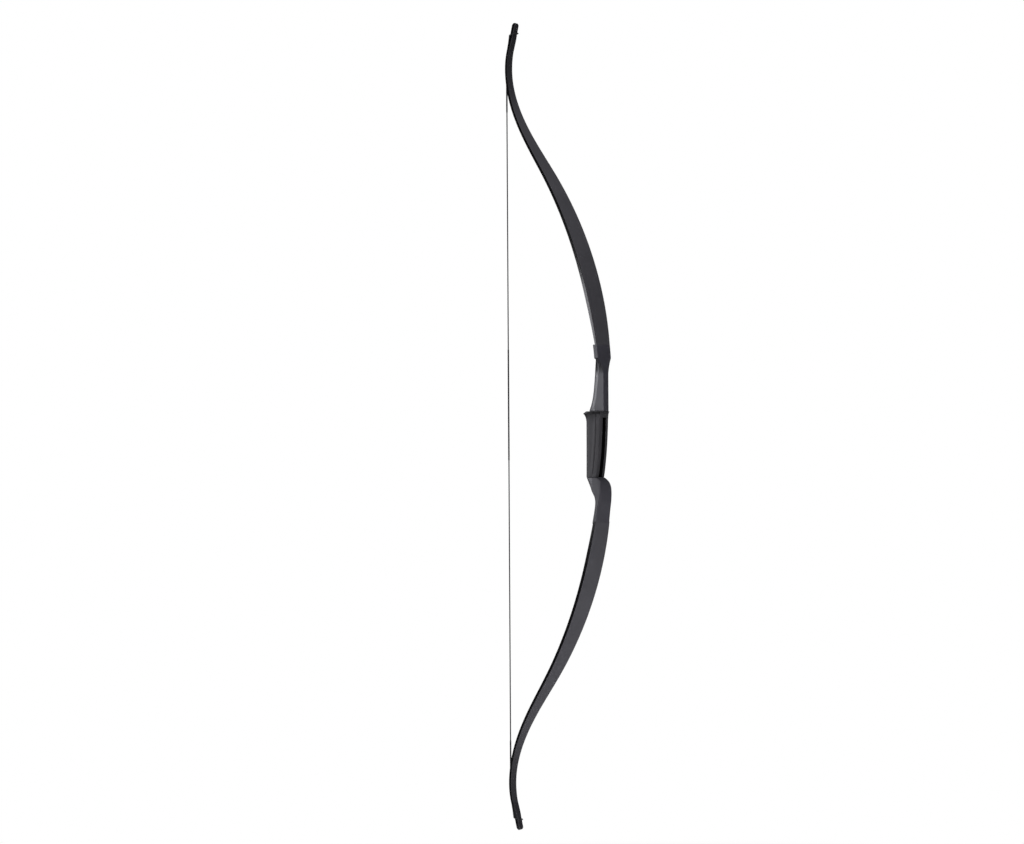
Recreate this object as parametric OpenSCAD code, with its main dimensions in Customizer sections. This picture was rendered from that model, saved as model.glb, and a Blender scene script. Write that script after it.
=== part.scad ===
// Recurve bow, strung, held upright.
// Millimetres. +Z is up the bow, +X points at the target, Y is across the limbs.
// The origin is the pivot point of the hand on the belly of the grip, in the bow's plane of symmetry.
// The belly is the side that faces the archer (-X), the back is the side that faces the target (+X).

/* [Limb curve] */
// Height above the pivot at which the limb's curve starts
root_z = 150; // [140:1:160]
// Distance of the limb's centre line in front of the pivot there
root_x = 32.5; // [28:0.1:38]
// Lean of the limb towards the archer there, in degrees
root_lean = 7.3; // [4:0.1:10]
// Turn of the evenly bent part of the limb towards the archer, in degrees
even_turn = 26.4; // [22:0.1:30]
// Length of limb that keeps the even bend
even_len = 326; // [300:1:350]
// Turn of the recurve towards the target, in degrees
recurve_turn = 47.4; // [42:0.1:52]
// Length over which the bend swings over from the working limb to the tightest recurve
curl_len = 264; // [245:1:280]
// Length of the straight tip from the end of the recurve to the string nock
nock_run = 32; // [28:1:38]
// Length of the knob beyond the string nock
knob_len = 22; // [18:1:28]

/* [Limb section] */
// Thickness of the limb at its root
limb_t = 7.7; // [6.5:0.1:10]
// Thickness of the limb from the recurve to the tip
tip_t = 5.2; // [4.4:0.1:6.5]
// Depth by which the limb's belly is eased back at its root
root_ease = 2.8; // [0:0.1:3.2]
// Thickness of the laminate on each face
glass_t = 0.9; // [0.5:0.05:1.3]
// Width of the limb where it leaves the riser's upper block
shoulder_w = 36.6; // [34:0.2:44]
// Greatest width of the limb
limb_w = 47.6; // [42:0.2:54]
// Width of the recurve
recurve_w = 16.4; // [14:0.2:20]
// Width of the knob at the tip
tip_w = 12.6; // [10.5:0.1:14]
// Distance along the limb to its greatest width
widest_s = 120; // [90:1:140]
// Fullness of the taper: 1 is full, 2 is lean
taper_power = 1.4; // [1:0.1:2]
// Thickness of the overlay on the back of the tip
overlay_t = 1.6; // [1:0.1:2.5]
// Length of the overlay before the string nock
overlay_len = 30; // [20:1:45]

/* [Flex] */
// Distance along the limb to the line about which it bends
flex_s = 90; // [80:1:110]
// Play in the seat of the bending line
flex_play = 0.5; // [0.45:0.05:0.8]

/* [Riser] */
// Seam between riser and upper limb, above the pivot
upper_seam = 149; // [145:1:155]
// Seam between riser and lower limb, below the pivot
lower_seam = 179; // [170:1:190]
// Lower end of the upper block, where the sight window starts
window_top = 124; // [115:1:128]
// Depth by which the block's belly stands proud of the limb
block_proud = 1.6; // [0:0.1:3]
// Widening of the block from the seam down to its lower corner
block_flare = 2.6; // [0:0.2:4]
// Height of the hollow curve that runs from the block into the post
window_curve = 29; // [20:1:36]
// Width of the post beside the sight window
post_w = 15; // [12:0.1:18]
// Back of the post in front of the pivot
post_back = 42.4; // [40:0.2:46]
// Belly of the post at the top of the window
post_belly = 20; // [18:0.5:26]
// Flat on the belly edge of the post
post_nose = 5; // [3:0.5:6]
// Depth of the bevel along the belly edge of the post
post_bevel = 11.6; // [8:0.2:14]
// Chamfer on the long edges of the riser
edge = 1.2; // [0.6:0.1:1.8]
// Length of the limb's tongue inside the riser
tongue_len = 20; // [14:1:22]
// Width of the tongue
tongue_w = 28; // [20:1:32]
// Thickness of the tongue
tongue_t = 3; // [2.4:0.1:4]
// Offset of the tongue from the limb's centre line towards the back
tongue_off = 0.6; // [0:0.1:1]
// Clearance between pieces that are bonded or slipped together
fit = 0.15; // [0.1:0.01:0.3]

/* [Heel below the grip] */
// Most forward point of the heel in front of the pivot
heel_back = 41.4; // [38:0.2:44]
// Drop of the heel's belly from the foot of the grip to the lower limb's line
heel_drop = 48; // [40:1:56]
// Width of the heel at its shoulder
heel_w = 34; // [28:1:38]

/* [Grip] */
// Height of the arrow shelf above the pivot
shelf_z = 27; // [22:1:32]
// Length of the grip from shelf to foot
grip_len = 121; // [110:1:130]
// Width of the grip
grip_w = 26.2; // [22:0.2:28]
// Depth of the grip, belly to back, below the shelf
grip_depth = 38; // [35:0.5:40]
// Depth of the grip at its foot
foot_depth = 27.6; // [25:0.2:31]
// Width of the flat strip along each back edge of the grip
grip_strip = 9.8; // [6:0.2:12]
// Reach of the shelf's beak towards the archer
beak = 7.4; // [4:0.2:9]
// Wall of the grip at its belly and back
grip_wall = 3; // [2:0.1:3.5]
// Wall of the grip at its sides
side_wall = 2; // [1.5:0.1:2.5]
// Width of the hollow in the back of the grip
slot_w = 10; // [8:0.2:12]
// Depth of the hollow from the back
slot_depth = 22; // [14:1:26]
// Distance from the shelf to the top of the hollow
slot_drop = 11.5; // [9:0.5:16]

/* [String] */
// Diameter of the bundle of strands
string_d = 2.2; // [1.8:0.1:2.6]
// Thickness of the serving thread wound round the strands
serving_t = 0.4; // [0.25:0.05:0.5]
// Diameter of the served loop round the tip
loop_d = 2.4; // [2:0.1:2.6]
// Gap between the string and whatever it lies on
string_gap = 0.3; // [0.25:0.05:0.4]
// Distance from the string nock down to the throat of the loop
throat_run = 45; // [42:1:50]
// Height of the nocking point above the pivot
nocking_z = 38; // [34:1:42]
// Length of the centre serving
centre_serving = 205; // [180:1:240]
// Height of the middle of the centre serving
serving_mid = 39.5; // [36:0.5:44]
// Length of each end serving, from the throat of the loop
end_serving = 100; // [80:1:130]
// Length of string at the nocking point that bends between the fingers
bend_len = 40; // [40:1:50]

/* [Hidden] */
$fn = 48;
step = 10; // spacing of the stations along the limb
even_bend = even_turn / even_len; // degrees of turn per millimetre
curl_bend = even_bend + 2 * recurve_turn / curl_len; // tightest bend of the recurve, per millimetre
curl_start = even_len; // the even bend ends here
curl_end = even_len + curl_len; // the limb is straight from here
nock_s = curl_end + nock_run; // distance along the limb to the string nock
tip_s = nock_s + knob_len; // distance along the limb to its end
curve_s = curl_end - 0.19 * curl_len; // the width has come down to the recurve's here
seam_overlap = 6; // the limb is drawn this far below its seam before it is cut
wide = 6 * limb_w; // longer than any cut needs to be
served_r = string_d / 2 + serving_t; // radius of the served string
loop_r = loop_d / 2;
bore_play = 0.05; // clearance of a serving round the strands
grip_foot = shelf_z - grip_len; // height of the grip's foot

// Curves

// Index of the span of pts that holds v; pts is a list of [position, value] in rising order
function span(v, pts, i = 0) =
    (i >= len(pts) - 2 || v < pts[i + 1][0]) ? i : span(v, pts, i + 1);
function rise(pts, i) = (pts[i + 1][1] - pts[i][1]) / (pts[i + 1][0] - pts[i][0]);
// Slope at a point, level where the values turn, so the curve never overshoots them
function slope(pts, i) =
    i == 0 ? rise(pts, 0)
    : i == len(pts) - 1 ? rise(pts, i - 1)
    : rise(pts, i - 1) * rise(pts, i) <= 0 ? 0
    : 2 * rise(pts, i - 1) * rise(pts, i) / (rise(pts, i - 1) + rise(pts, i));
// Smooth curve through pts at v
function smooth(v, pts) =
    let (i = span(v, pts),
         h = pts[i + 1][0] - pts[i][0],
         t = min(1, max(0, (v - pts[i][0]) / h)))
    (1 + 2 * t) * pow(1 - t, 2) * pts[i][1] + t * pow(1 - t, 2) * h * slope(pts, i)
    + t * t * (3 - 2 * t) * pts[i + 1][1] + t * t * (t - 1) * h * slope(pts, i + 1);

// Limb curve: s is the distance along the limb from its root

// Lean of the limb towards the archer at s
function lean(s) =
    s <= curl_start ? root_lean + even_bend * s
    : let (u = min(s, curl_end) - curl_start)
      root_lean + even_bend * curl_start
      + even_bend * u - (even_bend + curl_bend) * u * u / (2 * curl_len);
function along(s) = [-sin(lean(s)), cos(lean(s))];
function normal(s) = [cos(lean(s)), sin(lean(s))];
stations_up = ceil(tip_s / step) + 1;
// Centre line at each whole step, as [x, z]
centre_line = [
    for (i = 0, p = [root_x, root_z];
         i <= stations_up;
         p = p + step * along((i + 0.5) * step), i = i + 1) p
];
// Centre line at any s; below the root it runs on with the same bend
function centre(s) =
    s <= 0 ? [root_x, root_z] + s * along(s / 2)
    : let (i = floor(s / step)) centre_line[i] + (s - i * step) * along((s + i * step) / 2);
// Point at s, set off by n towards the back
function limb_point(s, n) = centre(s) + n * normal(s);
function thickness(s) = limb_t + (tip_t - limb_t) * min(1, max(0, s / curve_s));
function half_core(s) = thickness(s) / 2 - glass_t;
function half_limb(s) = thickness(s) / 2;
// Half-thickness on the belly side of the clamped root, eased back towards the riser
function half_root(s) = half_limb(s) - root_ease * max(0, 1 - s / flex_s);

// Width of the limb at s
function width(s) =
    s < widest_s
    ? limb_w - (limb_w - shoulder_w) * pow((widest_s - s) / (widest_s + window_curve), 2)
    : s < curve_s
    ? recurve_w + (limb_w - recurve_w)
        * pow(cos(90 * (s - widest_s) / (curve_s - widest_s)), taper_power)
    : recurve_w - (recurve_w - tip_w) * pow((min(s, nock_s) - curve_s) / (nock_s - curve_s), 3);

// Distance along the limb at which it crosses a height near its root
function s_at_height(z, s = 0, n = 5) =
    n == 0 ? s : s_at_height(z, s + (z - centre(s)[1]) / cos(lean(s)), n - 1);
upper_seam_s = s_at_height(upper_seam);
lower_seam_s = s_at_height(lower_seam);

// Stations from a to b with every whole step between them
function stations(a, b) = concat(
    [a], [for (i = [ceil((a + 1) / step) : floor((b - 1) / step)]) i * step], [b]);

// The string lies a gap clear of the recurve's belly
belly_line = [for (s = stations(curve_s - 20, curl_end)) limb_point(s, -half_limb(s))[0]];
string_x = min(belly_line) - string_gap - served_r;
throat_s = nock_s - throat_run;
throat_z = centre(throat_s)[1];

// Solids from outlines

// A plate across the bow: its outline is drawn in X and Z
module across(w) {
    rotate([90, 0, 0])
        linear_extrude(height = w, center = true)
            children();
}

// A wall along X: its outline is drawn in Y and Z
module fore_and_aft() {
    rotate([90, 0, 90])
        linear_extrude(height = 2 * wide, center = true)
            children();
}

// Skin through rings that each have the same number of points
module loft(rings) {
    n = len(rings[0]);
    m = len(rings);
    polyhedron(
        points = [for (r = rings) for (p = r) p],
        faces = concat(
            [[for (i = [n - 1 : -1 : 0]) i]],
            [[for (i = [0 : n - 1]) (m - 1) * n + i]],
            [for (k = [0 : m - 2]) for (i = [0 : n - 1])
                let (a = k * n + i, b = k * n + (i + 1) % n)
                each [[a, b, a + n], [b, b + n, a + n]]]
        )
    );
}

// A level ring at height z from the points of its +Y half, listed from belly to back
function ring(half, z) = concat(
    [for (p = half) [p[0], p[1], z]],
    [for (i = [len(half) - 1 : -1 : 0]) [half[i][0], -half[i][1], z]]);

// Limb pieces

module slab(a, b, low, high) {
    s = stations(a, b);
    across(wide)
        polygon(concat(
            [for (v = s) limb_point(v, low(v))],
            [for (i = [len(s) - 1 : -1 : 0]) limb_point(s[i], high(s[i]))]));
}

// Outline of the limb from the front, with the knob's round end
module limb_outline() {
    s = stations(min(0, upper_seam_s, lower_seam_s) - seam_overlap, nock_s);
    end = centre(tip_s)[1] - tip_w / 2;
    polygon(concat(
        [for (v = s) [width(v) / 2, centre(v)[1]]],
        [for (a = [0 : 15 : 180]) [tip_w / 2 * cos(a), end + tip_w / 2 * sin(a)]],
        [for (i = [len(s) - 1 : -1 : 0]) [-width(s[i]) / 2, centre(s[i])[1]]]));
}

nock_r = loop_r + string_gap; // radius of the string groove
nock_floor = 4.8; // half-width left between the two grooves
nock_tilt = 30; // the grooves climb from belly to back by this angle
groove_len = 40; // longer than the tip is thick

// Pair of grooves that hold the string at the tip
module nock_grooves() {
    p = centre(nock_s);
    for (side = [-1, 1])
        translate([p[0], side * (nock_floor + nock_r), p[1]])
            rotate([0, 90 - lean(nock_s) - nock_tilt, 0])
                cylinder(h = groove_len, r = nock_r, center = true);
}

module limb_slab(a, b, low, high) {
    difference() {
        intersection() {
            slab(a, b, low, high);
            fore_and_aft() limb_outline();
        }
        nock_grooves();
    }
}

// Places its children, drawn with X towards the back and Z along the limb, at s
module at_limb(s) {
    p = centre(s);
    translate([p[0], 0, p[1]])
        rotate([0, -lean(s), 0])
            children();
}

root_merge = 1; // the core runs this far into its round root
module limb_core() {
    r = half_limb(flex_s);
    limb_slab(flex_s - root_merge, tip_s, function (s) -half_core(s), function (s) half_core(s));
    intersection() {
        at_limb(flex_s)
            rotate([90, 0, 0])
                cylinder(h = wide, r = r, center = true);
        at_limb(flex_s)
            translate([-r, -wide / 2, -r])
                cube([2 * r, wide, r]);
        fore_and_aft() limb_outline();
    }
}

module back_laminate() {
    limb_slab(flex_s, tip_s, function (s) half_core(s), function (s) half_limb(s));
}

module belly_laminate() {
    limb_slab(flex_s, tip_s, function (s) -half_limb(s), function (s) -half_core(s));
}

overlay_edge = 0.16; // thickness left at the overlay's edge towards the riser
overlay_run = 0.7; // share of the overlay's length over which it comes up to its thickness
// The overlay thins to an edge towards the riser
function overlay_top(s) =
    let (share = max(0, (s - nock_s + overlay_len) / (overlay_len * overlay_run)))
    half_limb(s) + min(overlay_t, overlay_edge + (overlay_t - overlay_edge) * share);

module tip_overlay() {
    limb_slab(nock_s - overlay_len, tip_s, function (s) half_limb(s), function (s) overlay_top(s));
}

// The clamped end of the limb: the tongue in the riser and the root up to the bending line
module limb_butt(seam, seam_s) {
    difference() {
        intersection() {
            slab(seam_s - seam_overlap, flex_s, function (s) -half_root(s), function (s) half_limb(s));
            fore_and_aft() limb_outline();
            translate([-wide / 2, -wide / 2, seam])
                cube(wide);
        }
        at_limb(flex_s)
            rotate([90, 0, 0])
                cylinder(h = wide, r = half_limb(flex_s) + flex_play, center = true);
    }
    tongue(seam_s, 0, 0);
}

// The tongue below a seam, grown by a clearance all round
module tongue(seam_s, clear, deeper) {
    at_limb(seam_s)
        translate([tongue_off - tongue_t / 2 - clear, -tongue_w / 2 - clear, -tongue_len - deeper])
            cube([tongue_t + 2 * clear, tongue_w + 2 * clear, tongue_len + deeper + tongue_root]);
}
tongue_root = 2; // the tongue is carried this far into the limb above the seam

// Riser

function belly_at(z) = let (s = s_at_height(z)) limb_point(s, 0)[0] - half_limb(s) / cos(lean(s));
function back_at(z) = let (s = s_at_height(z)) limb_point(s, 0)[0] + half_limb(s) / cos(lean(s));
function half_width_at(z) = width(s_at_height(z)) / 2;

// Ring of a plate with chamfered long edges
function plate_ring(z, belly, back, half) = ring([
    [belly, half - edge],
    [belly + edge, half],
    [back - edge, half],
    [back, half - edge]
], z);

shelf_joint = 0.4; // open joint between the shelf and the post's sides
foot_inset = 0.6; // the post is this much narrower on each side where it passes through the shelf

// Ring of the post: a narrow nose, a bevel in two facets, flat sides and a chamfered back
function post_ring(z, belly, back) =
    let (half = post_w / 2 - foot_inset * min(1, max(0, 1 - (z - shelf_z - shelf_joint) / foot_inset)),
         nose = post_nose / 2,
         crease = min(back - 2 * edge, max(belly + post_bevel, post_belly + post_bevel * 0.1)))
    ring([
        [belly, nose],
        [belly + (crease - belly) * 0.4, nose + (half - nose) * 0.65],
        [crease, half],
        [back - edge, half],
        [back, half - edge]
    ], z);

// Belly of the post from the shelf up, and on as a rib that dies into the block
post_belly_line = [
    [shelf_z - 4, post_belly - 15.8],
    [shelf_z + 2, post_belly - 14.2],
    [shelf_z + 11, post_belly - 10.5],
    [shelf_z + 22, post_belly - 7.3],
    [shelf_z + (window_top - shelf_z) * 0.41, post_belly - 4.2],
    [shelf_z + (window_top - shelf_z) * 0.68, post_belly - 1.6],
    [window_top - 10, post_belly],
    [window_top, post_belly + 0.8],
    [upper_seam, belly_at(upper_seam) - block_proud + 0.2]
];
inlay = 0.4; // the post and the block lie this far inside each other's back
// Back of the post: it rises from the grip's back, then stays just inside the block's back
post_back_line = [
    [shelf_z - 4, grip_depth + 0.4],
    [shelf_z + 1, post_back],
    [window_top - window_curve, post_back],
    [window_top, back_at(window_top) - inlay],
    [upper_seam, back_at(upper_seam) - inlay]
];
rib_depth = post_bevel * 0.7 + 2 * edge; // the rib keeps at least this much body inside the block

post_top = upper_seam - 1; // the rib ends inside the block
module post() {
    low = shelf_z + shelf_joint;
    full = low + foot_inset;
    heights = concat([shelf_z - 4, low], [for (k = [0 : 16]) full + k * (post_top - full) / 16]);
    loft([for (z = heights)
        let (back = smooth(z, post_back_line))
        post_ring(z, min(smooth(z, post_belly_line), back - rib_depth + edge), back)]);
}

// Half-width of the block: it widens from the seam to its lower corner, then curves in to the post
function flared(z) = half_width_at(z) + block_flare / 2 * (upper_seam - z) / (upper_seam - window_top);
function block_half(z) =
    z >= window_top ? flared(z)
    : post_w / 2 + (flared(window_top) - post_w / 2)
        * pow((z - window_top + window_curve) / window_curve, 1.3);

module upper_block() {
    low = window_top - window_curve + 2;
    heights = concat([for (k = [0 : 8]) low + k * (window_top - low) / 8],
                     [for (k = [1 : 3]) window_top + k * (upper_seam - window_top) / 3]);
    loft([for (z = heights)
        let (curve_back = z < window_top ? smooth(z, post_back_line) - inlay : 0)
        plate_ring(z, belly_at(z) - block_proud, max(back_at(z), curve_back), block_half(z))]);
}

// Grip

// Shares of the grip's half-width at its nose and at the two corners behind it
nose_share = 0.31;
cheek_share = 0.62;
side_share = 0.8;
// Half section of the grip: narrow belly, facets widening to a flat strip, chamfered back edges
function grip_half(belly, back, half) =
    let (d = back - belly)
    [
        [belly, half * nose_share],
        [belly + d * 0.07, half * cheek_share],
        [belly + d * 0.25, half * side_share],
        [back - grip_strip, half],
        [back - grip_strip / 2, half],
        [back - edge, half],
        [back, half - edge]
    ];

grip_back_line = [
    [grip_foot, foot_depth],
    [grip_foot + grip_len * 0.12, foot_depth + (grip_depth - foot_depth) * 0.24],
    [grip_foot + grip_len * 0.42, foot_depth + (grip_depth - foot_depth) * 0.66],
    [grip_foot + grip_len * 0.73, foot_depth + (grip_depth - foot_depth) * 0.9],
    [shelf_z - 6, grip_depth],
    [shelf_z, grip_depth + 0.7]
];
// Flare of the belly up to the beak, and back to the edge of the shelf's flat
grip_belly_line = [
    [grip_foot, 0],
    [shelf_z - 22, 0],
    [shelf_z - 15, -beak * 0.1],
    [shelf_z - 9, -beak * 0.4],
    [shelf_z - 4, -beak]
];
flare = 1.4; // the shelf stands proud of the grip's sides by this much
function grip_belly(z) =
    z <= shelf_z - 4 ? smooth(z, grip_belly_line) : -beak + (z - shelf_z + 4) * 2;
function grip_half_w(z) = grip_w / 2 + flare * pow(min(1, max(0, (z - shelf_z + 12) / 8)), 2);
function grip_ring(z) = ring(grip_half(grip_belly(z), smooth(z, grip_back_line), grip_half_w(z)), z);

// The riser's core inside the grip, grown by a clearance
core_top = shelf_z - 3.5; // the shelf's plate closes over the core
core_heights = [for (share = [0.1, 0.41, 0.73]) grip_foot + share * grip_len];
module grip_core(clear) {
    foot = grip_foot - (clear > 0 ? 1 : 2);
    loft([for (z = concat([foot], core_heights, [core_top + clear]))
        let (back = smooth(z, grip_back_line) - grip_wall + clear,
             half = grip_w / 2 - side_wall + clear,
             front = grip_wall - clear)
        ring([
            [front, half * 0.3],
            [front + (back - front) * 0.3, half * 0.8],
            [front + (back - front) * 0.6, half * 0.92],
            [back - half * 0.2, half],
            [back, half * 0.72]
        ], z)]);
}

// The hollow in the back of the grip, which runs on into the core
module grip_hollow() {
    loft([for (z = concat([grip_foot], core_heights, [shelf_z - slot_drop]))
        let (back = smooth(z, grip_back_line))
        ring([[back - min(slot_depth, back - grip_wall * 2), slot_w / 2], [back + 5, slot_w / 2]], z)]);
}

// Heel

heel_end = -lower_seam;
heel_stations = [
    for (k = [0 : 4]) grip_foot - k * 3,
    for (k = [1 : 6]) grip_foot - 12 - k * (heel_drop - 12) / 6,
    for (k = [1 : 4]) grip_foot - heel_drop - k * (grip_foot - heel_drop - heel_end) / 4
];
heel_foot = grip_foot - heel_drop; // the belly joins the lower limb's line here
heel_back_line = [
    [heel_end, back_at(lower_seam)],
    [heel_foot - 11, back_at(11 - heel_foot) + 0.2],
    [grip_foot - heel_drop * 0.85, heel_back - 1.4],
    [grip_foot - heel_drop * 0.54, heel_back],
    [grip_foot - 19, heel_back - 0.1],
    [grip_foot - 11, heel_back - 2],
    [grip_foot - 4, foot_depth + 0.44 * (heel_back - foot_depth)],
    [grip_foot, foot_depth]
];
heel_half_line = [
    [heel_end, half_width_at(lower_seam)],
    [heel_foot - 11, half_width_at(11 - heel_foot)],
    [grip_foot - heel_drop * 0.85, heel_w / 2 + 1.6],
    [grip_foot - 22, heel_w / 2],
    [grip_foot - 11, (heel_w + grip_w) / 4],
    [grip_foot, grip_w / 2]
];
// Belly edge at the full width of the heel, and the crest of the rib between the edges
heel_side_line = [
    [heel_end, belly_at(lower_seam)],
    [heel_foot, belly_at(-heel_foot)],
    [grip_foot - heel_drop * 0.79, belly_at(heel_drop * 0.79 - grip_foot) - 2.4],
    [grip_foot - 22, 0.42 * foot_depth + 9],
    [grip_foot, foot_depth - grip_strip]
];
heel_crest_line = [
    [heel_end, belly_at(lower_seam)],
    [heel_foot - 14, belly_at(14 - heel_foot)],
    [heel_foot, belly_at(-heel_foot) - 2.5],
    [grip_foot - 22, 12.5],
    [grip_foot, 0]
];

module heel() {
    // shares of the grip's section fade out towards the plain plate of the limb
    loft([for (i = [len(heel_stations) - 1 : -1 : 0])
        let (z = heel_stations[i],
             half = smooth(z, heel_half_line),
             back = smooth(z, heel_back_line),
             side = smooth(z, heel_side_line),
             crest = min(smooth(z, heel_crest_line), side - 0.02),
             g = min(1, max(0, 1 - (grip_foot - z) / 22)))
        ring([
            [crest, half * nose_share],
            [crest + (side - crest) * 0.12, half * (cheek_share * g + 0.5 * (1 - g))],
            [crest + (side - crest) * (0.39 * g + 0.6 * (1 - g)), half * (side_share * g + 0.85 * (1 - g))],
            [side, half - edge * 0.3 * (1 - g)],
            [side + (back - side) * (0.5 * g + 0.8 * (1 - g)), half],
            [back - edge, half - edge * 0.3 * (1 - g)],
            [back, half - edge]
        ], z)]);
}

module riser() {
    color("#3f4142")
        difference() {
            union() {
                upper_block();
                post();
                grip_core(0);
                heel();
            }
            grip_hollow();
            tongue(upper_seam_s, fit, fit);
            mirror([0, 0, 1]) tongue(lower_seam_s, fit, fit);
        }
}

module grip() {
    color("#4c4e50")
        difference() {
            loft([for (z = concat(
                [for (k = [0 : 10]) grip_foot + k * (grip_len - 24) / 10],
                [for (d = [22, 18, 15, 12, 9, 6.5, 4, 2, 0]) shelf_z - d])) grip_ring(z)]);
            grip_core(fit);
            grip_hollow();
            // the post passes through the shelf's plate
            loft([for (z = [shelf_z - 4, shelf_z + 1])
                let (half = post_w / 2 + fit, nose = smooth(shelf_z - 4, post_belly_line) - fit)
                ring([[nose, half], [post_back + wide, half]], z)]);
        }
}

module upper_limb_butt() {
    color("#26282a") limb_butt(upper_seam, upper_seam_s);
}
module lower_limb_butt() {
    color("#26282a") mirror([0, 0, 1]) limb_butt(lower_seam, lower_seam_s);
}
module upper_limb_core() {
    color("#111213") limb_core();
}
module lower_limb_core() {
    color("#111213") mirror([0, 0, 1]) limb_core();
}
module upper_back_laminate() {
    color("#3a3c3d") back_laminate();
}
module lower_back_laminate() {
    color("#3a3c3d") mirror([0, 0, 1]) back_laminate();
}
module upper_belly_laminate() {
    color("#2c2e30") belly_laminate();
}
module lower_belly_laminate() {
    color("#2c2e30") mirror([0, 0, 1]) belly_laminate();
}
module upper_tip_overlay() {
    color("#1b1c1d") tip_overlay();
}
module lower_tip_overlay() {
    color("#1b1c1d") mirror([0, 0, 1]) tip_overlay();
}

// Loops of the string

// Points on the loop's route: [along from the nock, off the limb, across]
leg_off = half_limb(nock_s) + loop_r + string_gap;
back_off = leg_off + overlay_t;
side_off = nock_floor + nock_r;
hang_off = leg_off + 0.9; // the legs hang this far off the limb's centre line
hang_drop = 6; // the legs turn at this distance below the nock
// Point on the axis of a groove, at n off the centre line
function nock_axis(n) = [n * tan(nock_tilt), n, side_off];
function loop_point(p) = let (q = limb_point(nock_s + p[0], p[1])) [q[0], p[2], q[1]];
function mirrored(r) = [for (i = [len(r) - 1 : -1 : 0]) [r[i][0], -r[i][1], r[i][2]]];

// The bight goes from one leg through the groove, over the back of the tip and down to the other leg
bight_half = [for (p = [
    [-hang_drop + 1.9, -hang_off + 0.3, side_off - 0.2],
    [-3, -leg_off - 0.2, side_off],
    nock_axis(-3),
    nock_axis(0),
    nock_axis(2.8),
    nock_axis(4.4),
    [3.3, back_off - 0.1, side_off - 0.4],
    [3.7, back_off + 0.2, side_off - 1.9],
    [3.8, back_off + 0.2, 2.4]
]) loop_point(p)];
bight_route = concat(bight_half, mirrored(bight_half));

// One leg, from the throat up to the line on which it turns below the nock
throat_gap = served_r + 1.4 * string_gap; // the legs start this far above the throat
leg_start = [string_x, loop_r - 0.1, throat_z + throat_gap];
leg_turn = loop_point([-hang_drop, -hang_off, side_off - 0.4]);
leg_route = concat(
    [leg_start, leg_start + [0, 0, 4]],
    [for (p = [[-30, -hang_off, 2.2], [-18, -hang_off, 3.6]]) loop_point(p)],
    [leg_turn]);

// Two more points in every span, on a curve through the route's points
function between(a, b, c, d, t) =
    b + 0.5 * t * (c - a + t * (2 * a - 5 * b + 4 * c - d + t * (3 * (b - c) + d - a)));
function finer(r) = [
    for (i = [0 : len(r) - 2])
        let (a = r[max(0, i - 1)], d = r[min(len(r) - 1, i + 2)])
        each (norm(r[i + 1] - r[i]) > 3
            ? [r[i], between(a, r[i], r[i + 1], d, 1 / 2)]
            : [r[i]]),
    r[len(r) - 1]
];
function unit(v) = v / norm(v);
function heading(r, i) = unit(r[min(len(r) - 1, i + 1)] - r[max(0, i - 1)]);
// Side direction of each ring, carried along the route without twist
function carried(u, t) = unit(u - (u * t) * t);
function frames(r) = [
    for (i = 0, u = carried([1, 0, 0], heading(r, 0)); i < len(r);
         i = i + 1, u = carried(u, heading(r, min(i, len(r) - 1)))) u
];

// Round tube of radius radius along the route r
module tube(r, radius, sides = 8) {
    u = frames(r);
    loft([for (i = [0 : len(r) - 1])
        let (t = heading(r, i), v = cross(t, u[i]))
        [for (k = [0 : sides - 1])
            r[i] + radius * (cos(360 * k / sides) * u[i] - sin(360 * k / sides) * v)]]);
}

module loop_bight() {
    tube(finer(bight_route), loop_r);
}

module loop_legs() {
    for (side = [0, 1])
        mirror([0, side, 0]) {
            tube(finer(leg_route), loop_r);
            translate(leg_turn)
                rotate([90, 0, 0])
                    cylinder(h = 2 * loop_r, r = loop_r, center = true);
        }
}

module upper_loop_bight() {
    color("#1a1a1b") loop_bight();
}
module lower_loop_bight() {
    color("#1a1a1b") mirror([0, 0, 1]) loop_bight();
}
module upper_loop_legs() {
    color("#1a1a1b") loop_legs();
}
module lower_loop_legs() {
    color("#1a1a1b") mirror([0, 0, 1]) loop_legs();
}

// String

module rod(low, high, r) {
    translate([string_x, 0, low])
        cylinder(h = high - low, r = r);
}
module sleeve(low, high) {
    difference() {
        rod(low, high, served_r);
        rod(low - 1, high + 1, string_d / 2 + bore_play);
    }
}
bend_low = nocking_z - bend_len / 2;
bend_high = nocking_z + bend_len / 2;

// Bundle of strands from the throat of a loop to the bend at the fingers, drawn for the upper half;
// it ends in a short round eye across the bow, on which it turns in the throat
module strands(low) {
    rod(low, throat_z, string_d / 2);
    translate([string_x, 0, throat_z])
        rotate([90, 0, 0])
            cylinder(h = 2 * served_r, r = served_r, center = true);
}
module upper_string() {
    color("#222324") strands(bend_high);
}
module lower_string() {
    color("#222324") mirror([0, 0, 1]) strands(-bend_low);
}
module upper_end_serving() {
    color("#161617") sleeve(throat_z - end_serving, throat_z - served_r - bore_play);
}
module lower_end_serving() {
    color("#161617") mirror([0, 0, 1]) sleeve(throat_z - end_serving, throat_z - served_r - bore_play);
}
module upper_centre_serving() {
    color("#161617") sleeve(bend_high, serving_mid + centre_serving / 2);
}
module lower_centre_serving() {
    color("#161617") sleeve(serving_mid - centre_serving / 2, bend_low);
}
module nocking_serving() {
    color("#161617") rod(bend_low + string_gap, bend_high, served_r);
}

riser();
grip();
upper_limb_butt();
lower_limb_butt();
upper_limb_core();
upper_back_laminate();
upper_belly_laminate();
upper_tip_overlay();
upper_loop_bight();
upper_loop_legs();
lower_limb_core();
lower_back_laminate();
lower_belly_laminate();
lower_tip_overlay();
lower_loop_bight();
lower_loop_legs();
upper_string();
upper_end_serving();
upper_centre_serving();
nocking_serving();
lower_string();
lower_end_serving();
lower_centre_serving();
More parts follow.
